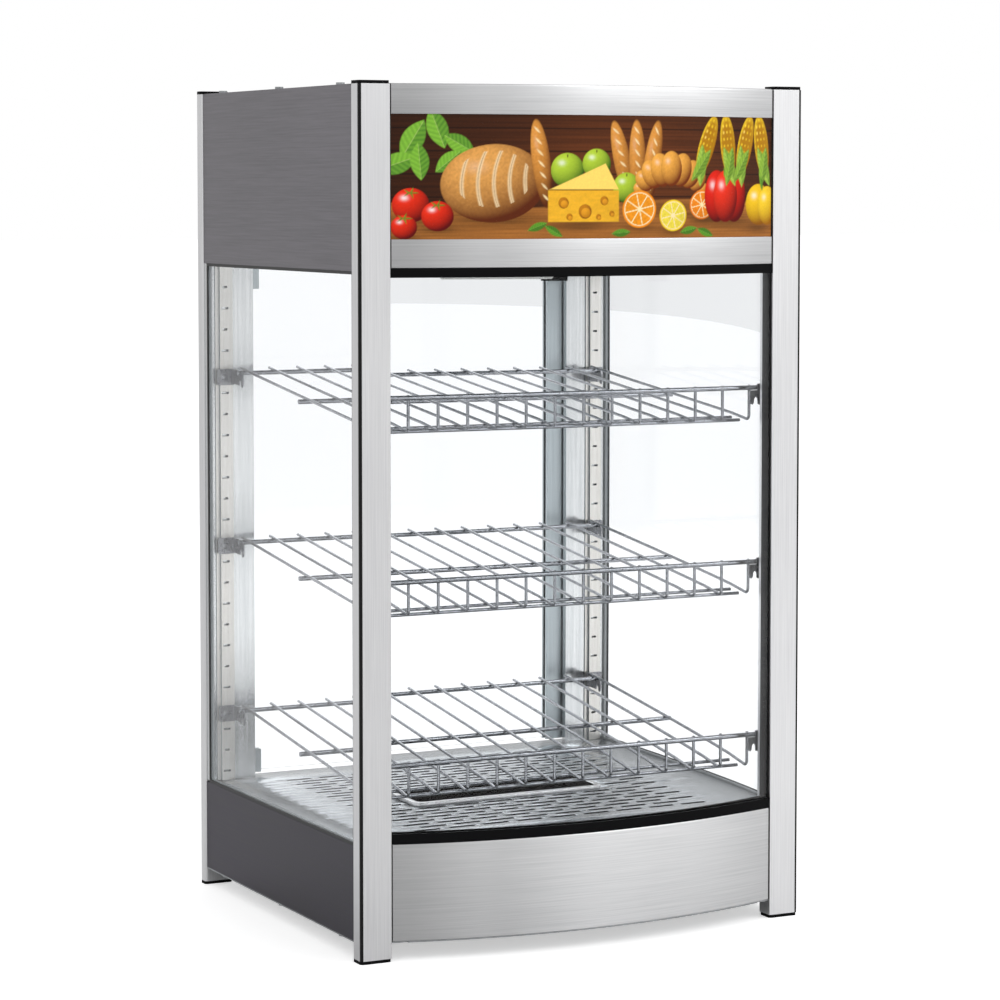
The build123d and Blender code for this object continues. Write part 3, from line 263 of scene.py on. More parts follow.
BEAD_INNER = 0.2303
gasket = moulded("co-extruded gasket", "#b9bdbe", "#c9cccd", 0.45, 1200.0, 0.1)
tree = gasket.node_tree
place = add_node(tree, "ShaderNodeTexCoord")
apart = add_node(tree, "ShaderNodeSeparateXYZ", {0: place.outputs["Object"]})
out = add_node(tree, "ShaderNodeMath", {0: apart.outputs["X"]}, operation="ABSOLUTE")
bead = add_node(tree, "ShaderNodeMath", {0: out.outputs[0], 1: BEAD_INNER}, operation="GREATER_THAN")
repaint(gasket, bead.outputs[0], "#060607")
dress(gasket, "side_gaskets")

# Base and header sides, top and rear: folded stainless sheet, brushed level along each panel
# with a 180-grit belt. The belt leaves streaks a few centimetres long.
# The header and base sides are one steel in two tones: the base copy is painted darker as painted shade in
# its reflection.
header_steel = grained_metal("brushed stainless, header", "#69676b", "#838085", (700.0, 14.0, 700.0),
                             0.38, 0.08, 0.25)
shaded_base_steel = grained_metal("brushed stainless, base", "#38363c", "#494650", (700.0, 14.0, 700.0),
                           0.38, 0.08, 0.25)
rear_steel = grained_metal("brushed stainless, rear", "#9c9c9f", "#b4b4b6", (14.0, 700.0, 700.0),
                           0.38, 0.08, 0.25)
dress(header_steel, "header_left_panel", "header_right_panel", "top_cover")
dress(shaded_base_steel, "base_left_panel", "base_right_panel")
dress(rear_steel, "base_rear_panel", "header_rear_panel")

# Base floor, light box and driver: galvanised and white coated sheet, mostly out of sight.
galvanised = grained_metal("galvanised sheet", "#8f9294", "#b3b6b8", (60.0, 60.0, 60.0), 0.45, 0.1, 0.1)
white_coat = moulded("white powder coat", "#d8d8d4", "#e4e4e0", 0.5, 900.0, 0.3)
white_nylon = moulded("moulded white nylon", "#d2d1cb", "#dedcd6", 0.45, 2000.0, 0.2)
opal = moulded("opal diffuser", "#e6e6e0", "#f0f0ea", 0.35, 300.0, 0.05)
dress(galvanised, "base_floor", "element_brackets", "screws")
dress(white_coat, "light_box_back", "chamber_lamp")
dress(white_nylon, "tube_holders", "light_driver", "thermostat", "terminal_block", "door_bushes")
dress(opal, "light_tubes", "lamp_lens")

# Ceiling, deck and rear columns: bright annealed stainless sheet. Standards, clips and spindle:
# zinc plated steel; the rear standards' side flanges are painted darker, painted shade. The
# element is heat tinted.
bright_deck = grained_metal("bright annealed stainless, deck", "#a5a9ac", "#bcc0c3", (9.0, 500.0, 9.0),
                            0.24, 0.04, 0.006)
column_steel = grained_metal("bright annealed stainless, columns", "#cdd0d1", "#e9eaea", (420.0, 420.0, 7.0),
                             0.2, 0.06, 0.06)
zinc = grained_metal("bright zinc plate", "#77787d", "#a2a3a6", (300.0, 300.0, 120.0), 0.3, 0.08, 0.2)
# Rear standards: the faces across Y, their side flanges, take #6d757b as painted shade.
strip_metal = grained_metal("zinc plated strip", "#d9d6d0", "#efede9", (400.0, 400.0, 20.0), 0.34, 0.08, 0.1,
                            rim=("Y", "#6d757b"))
front_strip = grained_metal("zinc plated strip, front", "#dcdcda", "#f0f0ee", (400.0, 400.0, 20.0),
                            0.34, 0.08, 0.1)
dress(bright_deck, "ceiling_panel")
dress(column_steel, "rear_columns")
dress(zinc, "thermostat_spindle")
dress(strip_metal, "rear_standards")
dress(front_strip, "front_standards")
tinted = grained_metal("heat tinted stainless tube", "#3e3733", "#5d544c", (60.0, 60.0, 60.0), 0.45, 0.1, 0.1)
dress(tinted, "heating_element")

# Curved front: one plan arc is shared by the base front, the glass and the header. The panels
# are roll-bent sheet with folded returns, brushed along the curve.
CURVE_RADIUS = 659.89
CURVE_CENTRE_Y = 434.39
CURVE_STEPS = 96


def rounded(corners, radii, steps=5):
    """A closed outline whose corners are arcs. Each corner is a quadratic curve from a point one
    radius before it to a point one radius after it, with the corner as its control point."""
    corners = np.array(corners, float)
    radii = np.array(radii, float)[:, None]
    back = np.roll(corners, 1, axis=0) - corners
    ahead = np.roll(corners, -1, axis=0) - corners
    start = corners + back / np.linalg.norm(back, axis=1, keepdims=True) * radii
    end = corners + ahead / np.linalg.norm(ahead, axis=1, keepdims=True) * radii
    t = np.linspace(0.0, 1.0, steps)[None, :, None]
    arcs = (1 - t) ** 2 * start[:, None] + 2 * t * (1 - t) * corners[:, None] + t**2 * end[:, None]
    return arcs.reshape(-1, 2)


def build_mesh(name, points, faces, finish, smooth_under=30.0):
    """Puts points in millimetres and faces into a new object, smooth but for edges over an angle."""
    mesh = bpy.data.meshes.new(name)
    mesh.from_pydata(points * MM, [], faces)
    mesh.validate()
    mesh.update()
    mesh.shade_smooth()
    mesh.set_sharp_from_angle(angle=np.radians(smooth_under))
    mesh.materials.append(finish)
    piece = bpy.data.objects.new(name, mesh)
    bpy.context.scene.collection.objects.link(piece)
    return piece


def skin(rows, around):
    """Faces of a closed body: four-cornered ones between neighbouring rings of points, and a cap on
    the first ring and on the last."""
    row, place = np.meshgrid(np.arange(rows - 1), np.arange(around), indexing="ij")
    after = (place + 1) % around
    quads = np.stack([row * around + place, row * around + after,
                      (row + 1) * around + after, (row + 1) * around + place], axis=-1)
    caps = [list(range(around))[::-1], list(range((rows - 1) * around, rows * around))]
    return quads.reshape(-1, 4).tolist() + caps


def along_front(name, outline, finish, end=201.6):
    """Carries a closed outline of (depth behind the face, height) along the front arc.
    At each x, y is the arc's centre less the root of (radius - depth) squared less x squared."""
    x = np.linspace(-end, end, CURVE_STEPS)[:, None]
    reach = CURVE_RADIUS - outline[None, :, 0]
    y = CURVE_CENTRE_Y - np.sqrt(reach**2 - x**2)
    z = np.broadcast_to(outline[None, :, 1], y.shape)
    points = np.stack([np.broadcast_to(x, y.shape), y, z], axis=-1).reshape(-1, 3)
    return build_mesh(name, points, skin(CURVE_STEPS, len(outline)), finish)


def folded_outline(bottom, top, low_return, high_return, sheet=1.2, bend=1.8):
    """Section of a sheet with returns turned back at its bottom and its top, folds rounded."""
    outer = [(0, bottom), (0, top)]
    outer_radii = [bend, bend] if high_return else [bend, 0.4]
    if high_return:
        outer += [(high_return, top), (high_return, top - sheet), (sheet, top - sheet)]
        outer_radii += [0.4, 0.4, bend - sheet + 0.2]
    else:
        outer += [(sheet, top)]
        outer_radii += [0.4]
    if low_return:
        outer += [(sheet, bottom + sheet), (low_return, bottom + sheet), (low_return, bottom)]
        outer_radii += [bend - sheet + 0.2, 0.4, 0.4]
    else:
        outer += [(sheet, bottom)]
        outer_radii += [0.4]
        outer_radii[0] = 0.4
    return rounded(outer, outer_radii)


# Painted reflection on the curved front: the colour is multiplied by a brightness along X, lowest at the left
# end and highest in the middle.
FRONT_PAINTED_REFLECTION = [(-0.203, 0.54), (-0.11, 0.76), (0.0, 1.0), (0.09, 0.95), (0.203, 0.78)]
front_steel = grained_metal("brushed stainless, front", "#dadbdc", "#f0f0f1", (9.0, 9.0, 800.0),
                            0.36, 0.07, 0.12, painted_reflection=FRONT_PAINTED_REFLECTION)
base_front = along_front("base_front", folded_outline(18.2, 109.4, 12, 12), front_steel)
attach(base_front, "case")
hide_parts("base_front_panel")
lower_strip = along_front("header_lower_trim", folded_outline(639.2, 665.8, 12, 0), front_steel)
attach(lower_strip, "case")
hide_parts("header_lower_strip")
top_strip = along_front("header_top_trim", folded_outline(779.8, 807.6, 0, 10), front_steel)
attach(top_strip, "case")
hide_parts("header_top_strip")

# Glass channels: black plastic extrusions that hold the bent glass above and below. Black rubber
# closes the joints between the front and the posts, and the glass's ends.
dress(black_nylon, "lower_glass_channel", "upper_glass_channel")


def bar(low, high, radius=0.3):
    """An upright bar between two corners: a rounded rectangle in plan carried from bottom to top."""
    corners = [(low[0], low[1]), (high[0], low[1]), (high[0], high[1]), (low[0], high[1])]
    outline = rounded(corners, [radius] * 4, 4)
    levels = (low[2], high[2])
    points = np.concatenate([np.column_stack([outline, np.full(len(outline), level)]) for level in levels])
    return points, skin(2, len(outline))


def join_pieces(pieces):
    """Puts several point and face lists into one."""
    points = []
    faces = []
    count = 0
    for piece_points, piece_faces in pieces:
        points.append(piece_points)
        faces += [[corner + count for corner in face] for face in piece_faces]
        count += len(piece_points)
    return np.concatenate(points), faces


seals = []
for left, right in ((-202.9, -201.6), (201.6, 202.9)):
    seals.append(bar((left, -193.0, 18.6), (right, -186.0, 109.2)))
    seals.append(bar((left, -193.0, 639.4), (right, -186.0, 805.6)))
    seals.append(bar((left, -191.6, 118.7), (right, -181.8, 630.7)))
joint_seals = build_mesh("front_joint_seals", *join_pieces(seals), black_rubber)
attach(joint_seals, "case")


# Glass: 4 mm toughened float, bent at the front and flat at the sides and in the door.
# Real glass reflects 4% a face; the lower IOR keeps the studio's white off the black pieces behind.
def clear_glass(name, tint):
    """Clear glass that lets lamp light through: transparent for shadow and diffuse rays."""
    made, tree, surface, place = new_finish(name)
    surface.inputs["Base Color"].default_value = rgba(tint)
    surface.inputs["Transmission Weight"].default_value = 1.0
    surface.inputs["IOR"].default_value = 1.2
    smear = add_node(tree, "ShaderNodeTexNoise", {"Vector": place.outputs["Object"], "Scale": 9.0,
                                                  "Detail": 4.0})
    rough = add_node(tree, "ShaderNodeMapRange", {"Value": smear.outputs[0], "From Min": 0.45,
                                                  "From Max": 0.75, "To Min": 0.0, "To Max": 0.006})
    tree.links.new(rough.outputs[0], surface.inputs["Roughness"])
    ray = add_node(tree, "ShaderNodeLightPath")
    passing = add_node(tree, "ShaderNodeMath", {0: ray.outputs["Is Shadow Ray"],
                                                1: ray.outputs["Is Diffuse Ray"]}, operation="MAXIMUM")
    open_way = add_node(tree, "ShaderNodeBsdfTransparent", {"Color": rgba(tint)})
    blend = add_node(tree, "ShaderNodeMixShader", {0: passing.outputs[0], 1: surface.outputs[0],
                                                   2: open_way.outputs[0]})
    tree.links.new(blend.outputs[0], tree.nodes["Material Output"].inputs["Surface"])
    return made


float_glass = clear_glass("clear toughened glass", "#f5f6f7")
dress(float_glass, "side_glass", "door_glass")
GLASS_FRONT = 3.0
GLASS_BACK = 7.0
GLASS_LOW = 112.4
GLASS_HIGH = 636.2
GLASS_HALF_WIDTH = 201.4
glass_corners = [(GLASS_FRONT, GLASS_LOW), (GLASS_FRONT, GLASS_HIGH),
                 (GLASS_BACK, GLASS_HIGH), (GLASS_BACK, GLASS_LOW)]
bent_glass = along_front("bent_glass", rounded(glass_corners, [0.6] * 4), float_glass, GLASS_HALF_WIDTH)
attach(bent_glass, "case")
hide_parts("front_glass")

# Wire shelves: 3 mm cross wires bent up into a fence, welded on two 4.8 mm rails and two 3.4 mm
# laterals, then chrome plated as one piece. Each hangs by its rail ends on the clips.
SHELF_LEVELS = {"top": 526.0, "middle": 354.0, "bottom": 182.0}
WIRE_COUNT = 14
WIRE_SPAN = 399.6
WIRE_RISE = 41.0 / 324.0
WIRE_OVER_RAIL = 3.536
REAR_RAIL_Y = 164.5
FENCE_Y = -159.5
FENCE_RAIL_Y = -163.0
FENCE_TOP = -7.0
MIDDLE_RAIL_Y = 7.5
WIRE_REAR_Y = 171.5
WIRE_RADIUS = 1.5
WIRE_BEND = 4.5
RAIL_RADIUS = 2.4
RAIL_LENGTH = 413.0
LATERAL_RADIUS = 1.7
LATERAL_LENGTH = 387.6


def wire_height(y):
    """Height of the cross wires over the rear rail: they fall evenly towards the front."""
    return WIRE_OVER_RAIL - (REAR_RAIL_Y - y) * WIRE_RISE


def tube(path, radius, around=12):
    """A round wire along a path: a ring of points at each path point, square to the path's mean
    direction there, and domed ends. Every path here lies in a plane square to X or runs along X."""
    path = np.array(path, float)
    step = np.gradient(path, axis=0)
    step /= np.linalg.norm(step, axis=1, keepdims=True)
    side = np.array([0.0, 1.0, 0.0]) if abs(step[0, 0]) > 0.9 else np.array([1.0, 0.0, 0.0])
    across = np.broadcast_to(side, step.shape)
    up = np.cross(step, across)
    dome = np.array([0.35, 0.75, 0.95])[:, None, None]
    turn = np.linspace(0.0, 2 * np.pi, around, endpoint=False)
    cosine = np.cos(turn)[None, :, None]
    sine = np.sin(turn)[None, :, None]
    ring = (across[:, None] * cosine + up[:, None] * sine) * radius
    body = path[:, None] + ring
    lead = path[0] - step[0] * radius * 0.4 * (1 - dome) + ring[0][None] * dome
    tail = path[-1] + step[-1] * radius * 0.4 * (1 - dome[::-1]) + ring[-1][None] * dome[::-1]
    points = np.concatenate([lead, body, tail]).reshape(-1, 3)
    return points, skin(len(path) + 2 * len(dome), around)


def cross_wire_path(x, level):
    """One cross wire: straight down to the fence, a bend, straight up to the fence rail."""
    slope = np.arctan(WIRE_RISE)
    corner = np.array([FENCE_Y, wire_height(FENCE_Y)])
    reach = WIRE_BEND * np.tan((np.pi / 2 - slope) / 2)
    inner = np.array([FENCE_Y + WIRE_BEND, corner[1] + reach])
    turn = np.linspace(np.pi + np.pi / 2 + slope, np.pi, 9)
    arc = inner + WIRE_BEND * np.stack([np.cos(turn), np.sin(turn)], axis=1)
    run = np.linspace(WIRE_REAR_Y, arc[0, 0], 12)[:-1]
    straight = np.stack([run, wire_height(run)], axis=1)
    riser = np.stack([np.full(4, FENCE_Y), np.linspace(arc[-1, 1], FENCE_TOP + RAIL_RADIUS, 5)[1:]], axis=1)
    plane = np.concatenate([straight, arc, riser])
    return np.stack([np.full(len(plane), x), plane[:, 0], plane[:, 1] + level], axis=1)


def rail_path(y, height, length):
    """A straight rail across the case."""
    x = np.linspace(-length / 2, length / 2, 9)
    return np.stack([x, np.full(9, y), np.full(9, height)], axis=1)


chrome = grained_metal("chrome plated wire", "#84878b", "#a9abb0", (160.0, 160.0, 160.0),
                       0.14, 0.05, 0.02, 0.2)
for tier, level in SHELF_LEVELS.items():
    wires_x = np.linspace(-WIRE_SPAN / 2, WIRE_SPAN / 2, WIRE_COUNT)
    parts = [tube(cross_wire_path(x, level), WIRE_RADIUS) for x in wires_x]
    middle_z = level + wire_height(MIDDLE_RAIL_Y) - 3.5
    rails = [(REAR_RAIL_Y, level), (MIDDLE_RAIL_Y, middle_z), (FENCE_RAIL_Y, level + FENCE_TOP)]
    parts += [tube(rail_path(y, height, RAIL_LENGTH), RAIL_RADIUS) for y, height in rails]
    for lateral_y in (-150.5, -134.5):
        lateral_z = level + wire_height(lateral_y) - 2.8
        parts.append(tube(rail_path(lateral_y, lateral_z, LATERAL_LENGTH), LATERAL_RADIUS))
    shelf = build_mesh(f"wire_shelf_{tier}", *join_pieces(parts), chrome, 50.0)
    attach(shelf, f"shelf_{tier}")
    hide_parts(f"shelf_{tier}")


# Shelf clips: pressed zinc plated steel. A plate lies on the standard with a riveted hook, and
# an arm with a saddle carries the rail's end; its lower notch takes a second rail.
CLIP_SHEET = 1.5
REAR_ARM_X = 204.2
REAR_PLATE_Y = 184.7
FRONT_PLATE_X = 215.2
RIVET_X = 213.5
RIVET_Y = 184.0


def pressing(outline, origin, across):
    """A flat pressing of clip sheet: an outline of (a, z) at an origin, in the plane across X or Y."""
    outline = np.array(outline, float)
    a = outline[:, 0]
    z = outline[:, 1]
    sheets = []
    for offset in (-CLIP_SHEET / 2, CLIP_SHEET / 2):
        flat = np.full(len(outline), offset)
        column = [a, flat, z] if across == "Y" else [flat, a, z]
        sheets.append(np.stack(column, axis=1) + np.array(origin))
    return np.concatenate(sheets), skin(2, len(outline))


def rivet(centre, radius, height, around=16):
    """A domed rivet head that faces the front: rings on an ellipse, closed by a cap and a base."""
    lift = np.linspace(0.0, np.pi / 2 * 0.92, 5)
    turn = np.linspace(0.0, 2 * np.pi, around, endpoint=False)
    wide = np.cos(lift)[:, None] * radius
    proud = np.broadcast_to(-np.sin(lift)[:, None] * height, (len(lift), around))
    rings = np.stack([np.cos(turn)[None] * wide, proud, np.sin(turn)[None] * wide], axis=-1)
    return rings.reshape(-1, 3) + np.array(centre), skin(len(lift), around)


REAR_ARM = [(184.0, -11.5), (184.0, 3.0), (171.0, 3.0), (168.4, 0.4), (166.6, -2.0), (164.5, -2.7),
            (162.4, -2.0), (161.0, 0.6), (159.4, 1.8), (157.4, 0.8), (156.2, -2.4), (155.6, -8.0),
            (156.2, -12.6), (157.8, -14.4), (159.6, -13.4), (160.0, -9.4), (161.2, -7.4),
            (163.0, -7.0), (164.8, -8.2), (165.4, -12.4)]
REAR_PLATE = [(202.4, -12.0), (203.4, -13.0), (219.6, -13.0), (220.6, -12.0), (220.6, 2.4), (219.6, 3.4),
              (203.4, 3.4), (202.4, 2.4)]
FRONT_ARM = [(199.0, -2.7), (198.4, -5.0), (198.4, -13.2), (199.6, -16.2), (201.6, -16.8), (203.0, -15.0),
             (203.4, -11.0), (205.4, -8.8), (207.4, -11.0), (208.0, -16.6), (215.4, -18.4), (215.4, 3.6),
             (207.4, 3.6), (207.4, -2.7)]
FRONT_PLATE = [(-174.2, -18.0), (-155.8, -18.0), (-155.8, 2.6), (-157.0, 3.6), (-173.0, 3.6), (-174.2, 2.6)]
for tier, level in SHELF_LEVELS.items():
    parts = []
    for hand in (-1, 1):
        rear_outline = [(hand * a, z) for a, z in REAR_PLATE]
        front_outline = [(hand * a, z) for a, z in FRONT_ARM]
        parts.append(pressing(REAR_ARM, (hand * REAR_ARM_X, 0.0, level), "X"))
        parts.append(pressing(rear_outline, (0.0, REAR_PLATE_Y, level), "Y"))
        parts.append(pressing(front_outline, (0.0, FENCE_RAIL_Y, level + FENCE_TOP), "Y"))
        parts.append(pressing(FRONT_PLATE, (hand * FRONT_PLATE_X, 0.0, level + FENCE_TOP), "X"))
        parts.append(rivet((hand * RIVET_X, RIVET_Y, level - 4.8), 3.1, 1.8))
    clips = build_mesh(f"rail_clips_{tier}", *join_pieces(parts), zinc, 40.0)
    shape = bmesh.new()
    shape.from_mesh(clips.data)
    bmesh.ops.recalc_face_normals(shape, faces=shape.faces)
    shape.to_mesh(clips.data)
    shape.free()
    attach(clips, "case")
    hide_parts(f"clips_{tier}")


# Deck: stainless sheet with rows of punched slots, every second row shifted, and an opening for
# the tray. The slots' punched walls and the sheet's other cut edges are painted near black as
# painted shade. It is drawn as bands between level lines.
DECK_TOP = 108.2
DECK_SIDE = 224.8
SLOT_LENGTH = 27.0
SLOT_WIDTH = 5.0
ROW_PITCH = 12.7
FIRST_ROW = -148.5
SLOT_ROWS = 25
SLOTS_IN_ROW = 9
SLOTS_FROM = -158.0
SLOTS_TO = 164.0
SLOT_STEP = (316.0 - SLOT_LENGTH) / (SLOTS_IN_ROW - 1)
ROW_SHIFT = 12.0
TRAY_HOLE = (-106.5, 90.5, -48.0, 9.0)
DECK_FRONT_LINE = -175.0
DECK_REAR_LINE = 196.2
DECK_REAR = 208.0
POST_INNER = 202.8
TRAY_X = -8.0
TRAY_Y = -19.5
TRAY_CLEAR_X = 117.5
TRAY_CLEAR_Y = 37.0


def row_holes(y):
    """X ranges that are open at one y of the plan: slots, and the hole for the tray."""
    open_ranges = []
    if TRAY_HOLE[2] < y < TRAY_HOLE[3]:
        open_ranges.append(TRAY_HOLE[:2])
    row = int(round((y - FIRST_ROW) / ROW_PITCH))
    row_y = FIRST_ROW + row * ROW_PITCH
    if 0 <= row < SLOT_ROWS and abs(y - row_y) < SLOT_WIDTH / 2:
        for place in range(SLOTS_IN_ROW):
            centre = SLOTS_FROM + SLOT_LENGTH / 2 + place * SLOT_STEP + ROW_SHIFT * (row % 2)
            under_tray = abs(centre - TRAY_X) < TRAY_CLEAR_X and abs(row_y - TRAY_Y) < TRAY_CLEAR_Y
            if centre + SLOT_LENGTH / 2 < SLOTS_TO and not under_tray:
                open_ranges.append((centre - SLOT_LENGTH / 2, centre + SLOT_LENGTH / 2))
    return sorted(open_ranges)


lines = [DECK_FRONT_LINE, TRAY_HOLE[2], TRAY_HOLE[3], DECK_REAR_LINE]
for row in range(SLOT_ROWS):
    row_y = FIRST_ROW + row * ROW_PITCH
    lines += [row_y - SLOT_WIDTH / 2, row_y + SLOT_WIDTH / 2]
lines = sorted(lines)
bands = [row_holes((low + high) / 2) for low, high in zip(lines, lines[1:])]
breaks = []
for place in range(len(lines)):
    cuts = {-DECK_SIDE, DECK_SIDE}
    if place in (0, len(lines) - 1):
        cuts |= {-POST_INNER, POST_INNER}
    for band in bands[max(place - 1, 0):place + 1]:
        cuts |= {edge for hole in band for edge in hole}
    breaks.append(sorted(cuts))
deck_index = {}
deck_faces = []


def corner(x, y):
    """The number of a plan point, one for each place."""
    return deck_index.setdefault((round(x, 3), round(y, 3)), len(deck_index))


for place, holes in enumerate(bands):
    edges = [-DECK_SIDE] + [edge for hole in holes for edge in hole] + [DECK_SIDE]
    for left, right in zip(edges[::2], edges[1::2]):
        low = [corner(x, lines[place]) for x in breaks[place] if left <= x <= right]
        high = [corner(x, lines[place + 1]) for x in breaks[place + 1] if left <= x <= right]
        deck_faces.append(low + high[::-1])
front_edge = np.linspace(-POST_INNER, POST_INNER, 41)
front_line = CURVE_CENTRE_Y - np.sqrt((CURVE_RADIUS - 1.4) ** 2 - front_edge**2)
front_points = [corner(x, y) for x, y in zip(front_edge, front_line)]
deck_faces.append(front_points + [corner(x, lines[0]) for x in reversed(breaks[0]) if abs(x) <= POST_INNER])
deck_faces.append([corner(x, lines[-1]) for x in breaks[-1] if abs(x) <= POST_INNER]
                  + [corner(POST_INNER, DECK_REAR), corner(-POST_INNER, DECK_REAR)])
deck_points = np.array([(x, y, DECK_TOP) for x, y in deck_index])
# Painted shade: the sheet's cut edges, the slot walls among them, are near black.
painted_edge_shade = moulded("punched edge, dark", "#0c0d0f", "#15161a", 0.6, 900.0, 0.1, 0.2)
deck = build_mesh("slotted_deck", deck_points, deck_faces, bright_deck, 40.0)
deck.data.materials.append(painted_edge_shade)
thick = deck.modifiers.new("sheet thickness", "SOLIDIFY")
thick.thickness = 1.2 * MM
thick.offset = -1.0
thick.material_offset_rim = 1
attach(deck, "case")
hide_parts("deck")

# Water tray: pressed stainless pan with a rolled rim, and a near-black sheet laid inside it. It drops into
# the deck.
tray_steel = grained_metal("pressed stainless, tray", "#c6c7c9", "#dcddde", (60.0, 60.0, 60.0),
                           0.22, 0.06, 0.1)
TRAY_HALF_X = 104.0
TRAY_HALF_Y = 34.0
TRAY_STEPS = 96
near_black_lining = moulded("near-black lining", "#0b0a09", "#13110f", 0.6, 900.0, 0.02, 0.06)


def tray_ring(inset, height, round_by):
    """A level ring of the tray, inset from its rim: a rectangle whose corners are arcs of one radius."""
    turn = np.linspace(0.0, 2 * np.pi, TRAY_STEPS, endpoint=False) + np.pi / TRAY_STEPS
    cosine = np.cos(turn)
    sine = np.sin(turn)
    return np.stack([np.sign(cosine) * (TRAY_HALF_X - inset - round_by) + round_by * cosine + TRAY_X,
                     np.sign(sine) * (TRAY_HALF_Y - inset - round_by) + round_by * sine + TRAY_Y,
                     np.full(TRAY_STEPS, height)], axis=1)


# Sections of (inset, height, corner radius), from the middle of the pan's underside to its inside.
UNDER_SECTION = [(12.0, 97.1, 4.0), (6.9, 97.1, 6.0), (5.6, 98.0, 6.6), (5.5, 110.6, 6.6), (1.0, 110.8, 9.0)]
RIM_SECTION = [(0.9, 108.5, 9.0), (0.0, 108.5, 10.0), (0.0, 111.2, 10.0), (0.4, 111.8, 9.8),
               (1.2, 112.05, 9.4), (4.8, 112.05, 7.2), (5.6, 111.8, 6.8), (6.0, 111.2, 6.6),
               (6.1, 98.6, 6.5), (7.2, 97.9, 6.0), (12.0, 97.8, 4.0)]
rings = np.concatenate([tray_ring(*section) for section in UNDER_SECTION + RIM_SECTION])
faces = skin(len(UNDER_SECTION) + len(RIM_SECTION), TRAY_STEPS)
tray = build_mesh("tray_pan", rings, faces, tray_steel, 60.0)
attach(tray, "water_tray")
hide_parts("water_tray")
# A near-black sheet laid just inside the pan's walls and floor, with its back face.
coat = [(5.9, 111.5, 6.6), (6.25, 110.9, 6.5), (6.3, 98.9, 6.4), (7.4, 98.15, 5.9), (12.0, 98.05, 4.0)]
back = [(12.0, 97.9, 4.0), (7.3, 98.0, 5.9), (6.15, 98.8, 6.4), (6.1, 110.9, 6.5)]
rings = np.concatenate([tray_ring(*section) for section in back + coat])
liner = build_mesh("tray_dark_lining", rings, skin(len(coat) + len(back), TRAY_STEPS), near_black_lining, 60.0)
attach(liner, "water_tray")

# Rear door: glass pane in two pivot shoes, with an anodised pull stile.
stile_metal = grained_metal("satin anodised aluminium, door", "#aab3b7", "#c0c8cb", (600.0, 600.0, 8.0),
                            0.34, 0.05, 0.1)
dress(stile_metal, "door_stile", "door_shoes")

# Controls on the rear panel: rocker switches, pilot lamp and thermostat knob in gloss plastic.
# The knob's pointer and the rockers' 0 and I are filled in white.
KNOB_X = -40.0
KNOB_Z = 62.0
PRINT_Y = 209.5
SCALE_START = -135.0
SCALE_STEP = 30.0
POWER_X = 120.0
BETWEEN_ROCKERS = 80.0
MARK_I_Z = 67.0
MARK_0_Z = 56.5
WHITE_FILL = "#e8e8e6"


def rectangle(finish, centre_x, centre_z, half_x, half_z, mirror=0.0, turn=0.0):
    """A mask, 1 inside an upright rectangle in mm on the rear faces. Mirror repeats it about a middle
    X; turn swings it round the knob's axis, in degrees from straight up towards +X."""
    nodes = finish.node_tree
    place = add_node(nodes, "ShaderNodeTexCoord")
    swung = add_node(nodes, "ShaderNodeVectorRotate", {"Vector": place.outputs["Object"],
                                                       "Center": (KNOB_X * MM, 0.0, KNOB_Z * MM),
                                                       "Angle": np.radians(-turn)}, rotation_type="Y_AXIS")
    apart = add_node(nodes, "ShaderNodeSeparateXYZ", {0: swung.outputs[0]})
    x = apart.outputs["X"]
    if mirror:
        x = add_node(nodes, "ShaderNodeMath", {0: x, 1: mirror * MM}, operation="SUBTRACT").outputs[0]
        x = add_node(nodes, "ShaderNodeMath", {0: x}, operation="ABSOLUTE").outputs[0]
        centre_x -= mirror
    near_x = add_node(nodes, "ShaderNodeMath", {0: x, 1: centre_x * MM, 2: half_x * MM}, operation="COMPARE")
    near_z = add_node(nodes, "ShaderNodeMath", {0: apart.outputs["Z"], 1: centre_z * MM, 2: half_z * MM},
                      operation="COMPARE")
    both = add_node(nodes, "ShaderNodeMath", {0: near_x.outputs[0], 1: near_z.outputs[0]},
                    operation="MULTIPLY")
    facing = add_node(nodes, "ShaderNodeSeparateXYZ", {0: place.outputs["Normal"]})
    rear = add_node(nodes, "ShaderNodeMath", {0: facing.outputs["Y"], 1: 0.6}, operation="GREATER_THAN")
    return add_node(nodes, "ShaderNodeMath", {0: both.outputs[0], 1: rear.outputs[0]},
                    operation="MULTIPLY").outputs[0]


knob_black = moulded("moulded gloss black, knob", "#0e0e10", "#19191b", 0.22, 1500.0, 0.05)
repaint(knob_black, rectangle(knob_black, KNOB_X, KNOB_Z + 11.0, 1.0, 6.5, turn=SCALE_START), WHITE_FILL)
rocker_black = moulded("moulded gloss black, rocker", "#0e0e10", "#19191b", 0.22, 1500.0, 0.05)
repaint(rocker_black, rectangle(rocker_black, POWER_X, MARK_I_Z, 0.5, 2.2, BETWEEN_ROCKERS), WHITE_FILL)
repaint(rocker_black, rectangle(rocker_black, POWER_X, MARK_0_Z, 1.8, 2.2, BETWEEN_ROCKERS), WHITE_FILL)
repaint(rocker_black, rectangle(rocker_black, POWER_X, MARK_0_Z, 1.1, 1.5, BETWEEN_ROCKERS), "#131315")
gloss_black = moulded("moulded gloss black", "#0e0e10", "#19191b", 0.22, 1500.0, 0.05)
amber = moulded("amber lens", "#c2540c", "#e07a18", 0.15, 300.0, 0.03)
dress(knob_black, "thermostat_knob")
dress(rocker_black, "power_rocker", "light_rocker")
dress(gloss_black, "switch_housings")
dress(amber, "indicator_lamp")


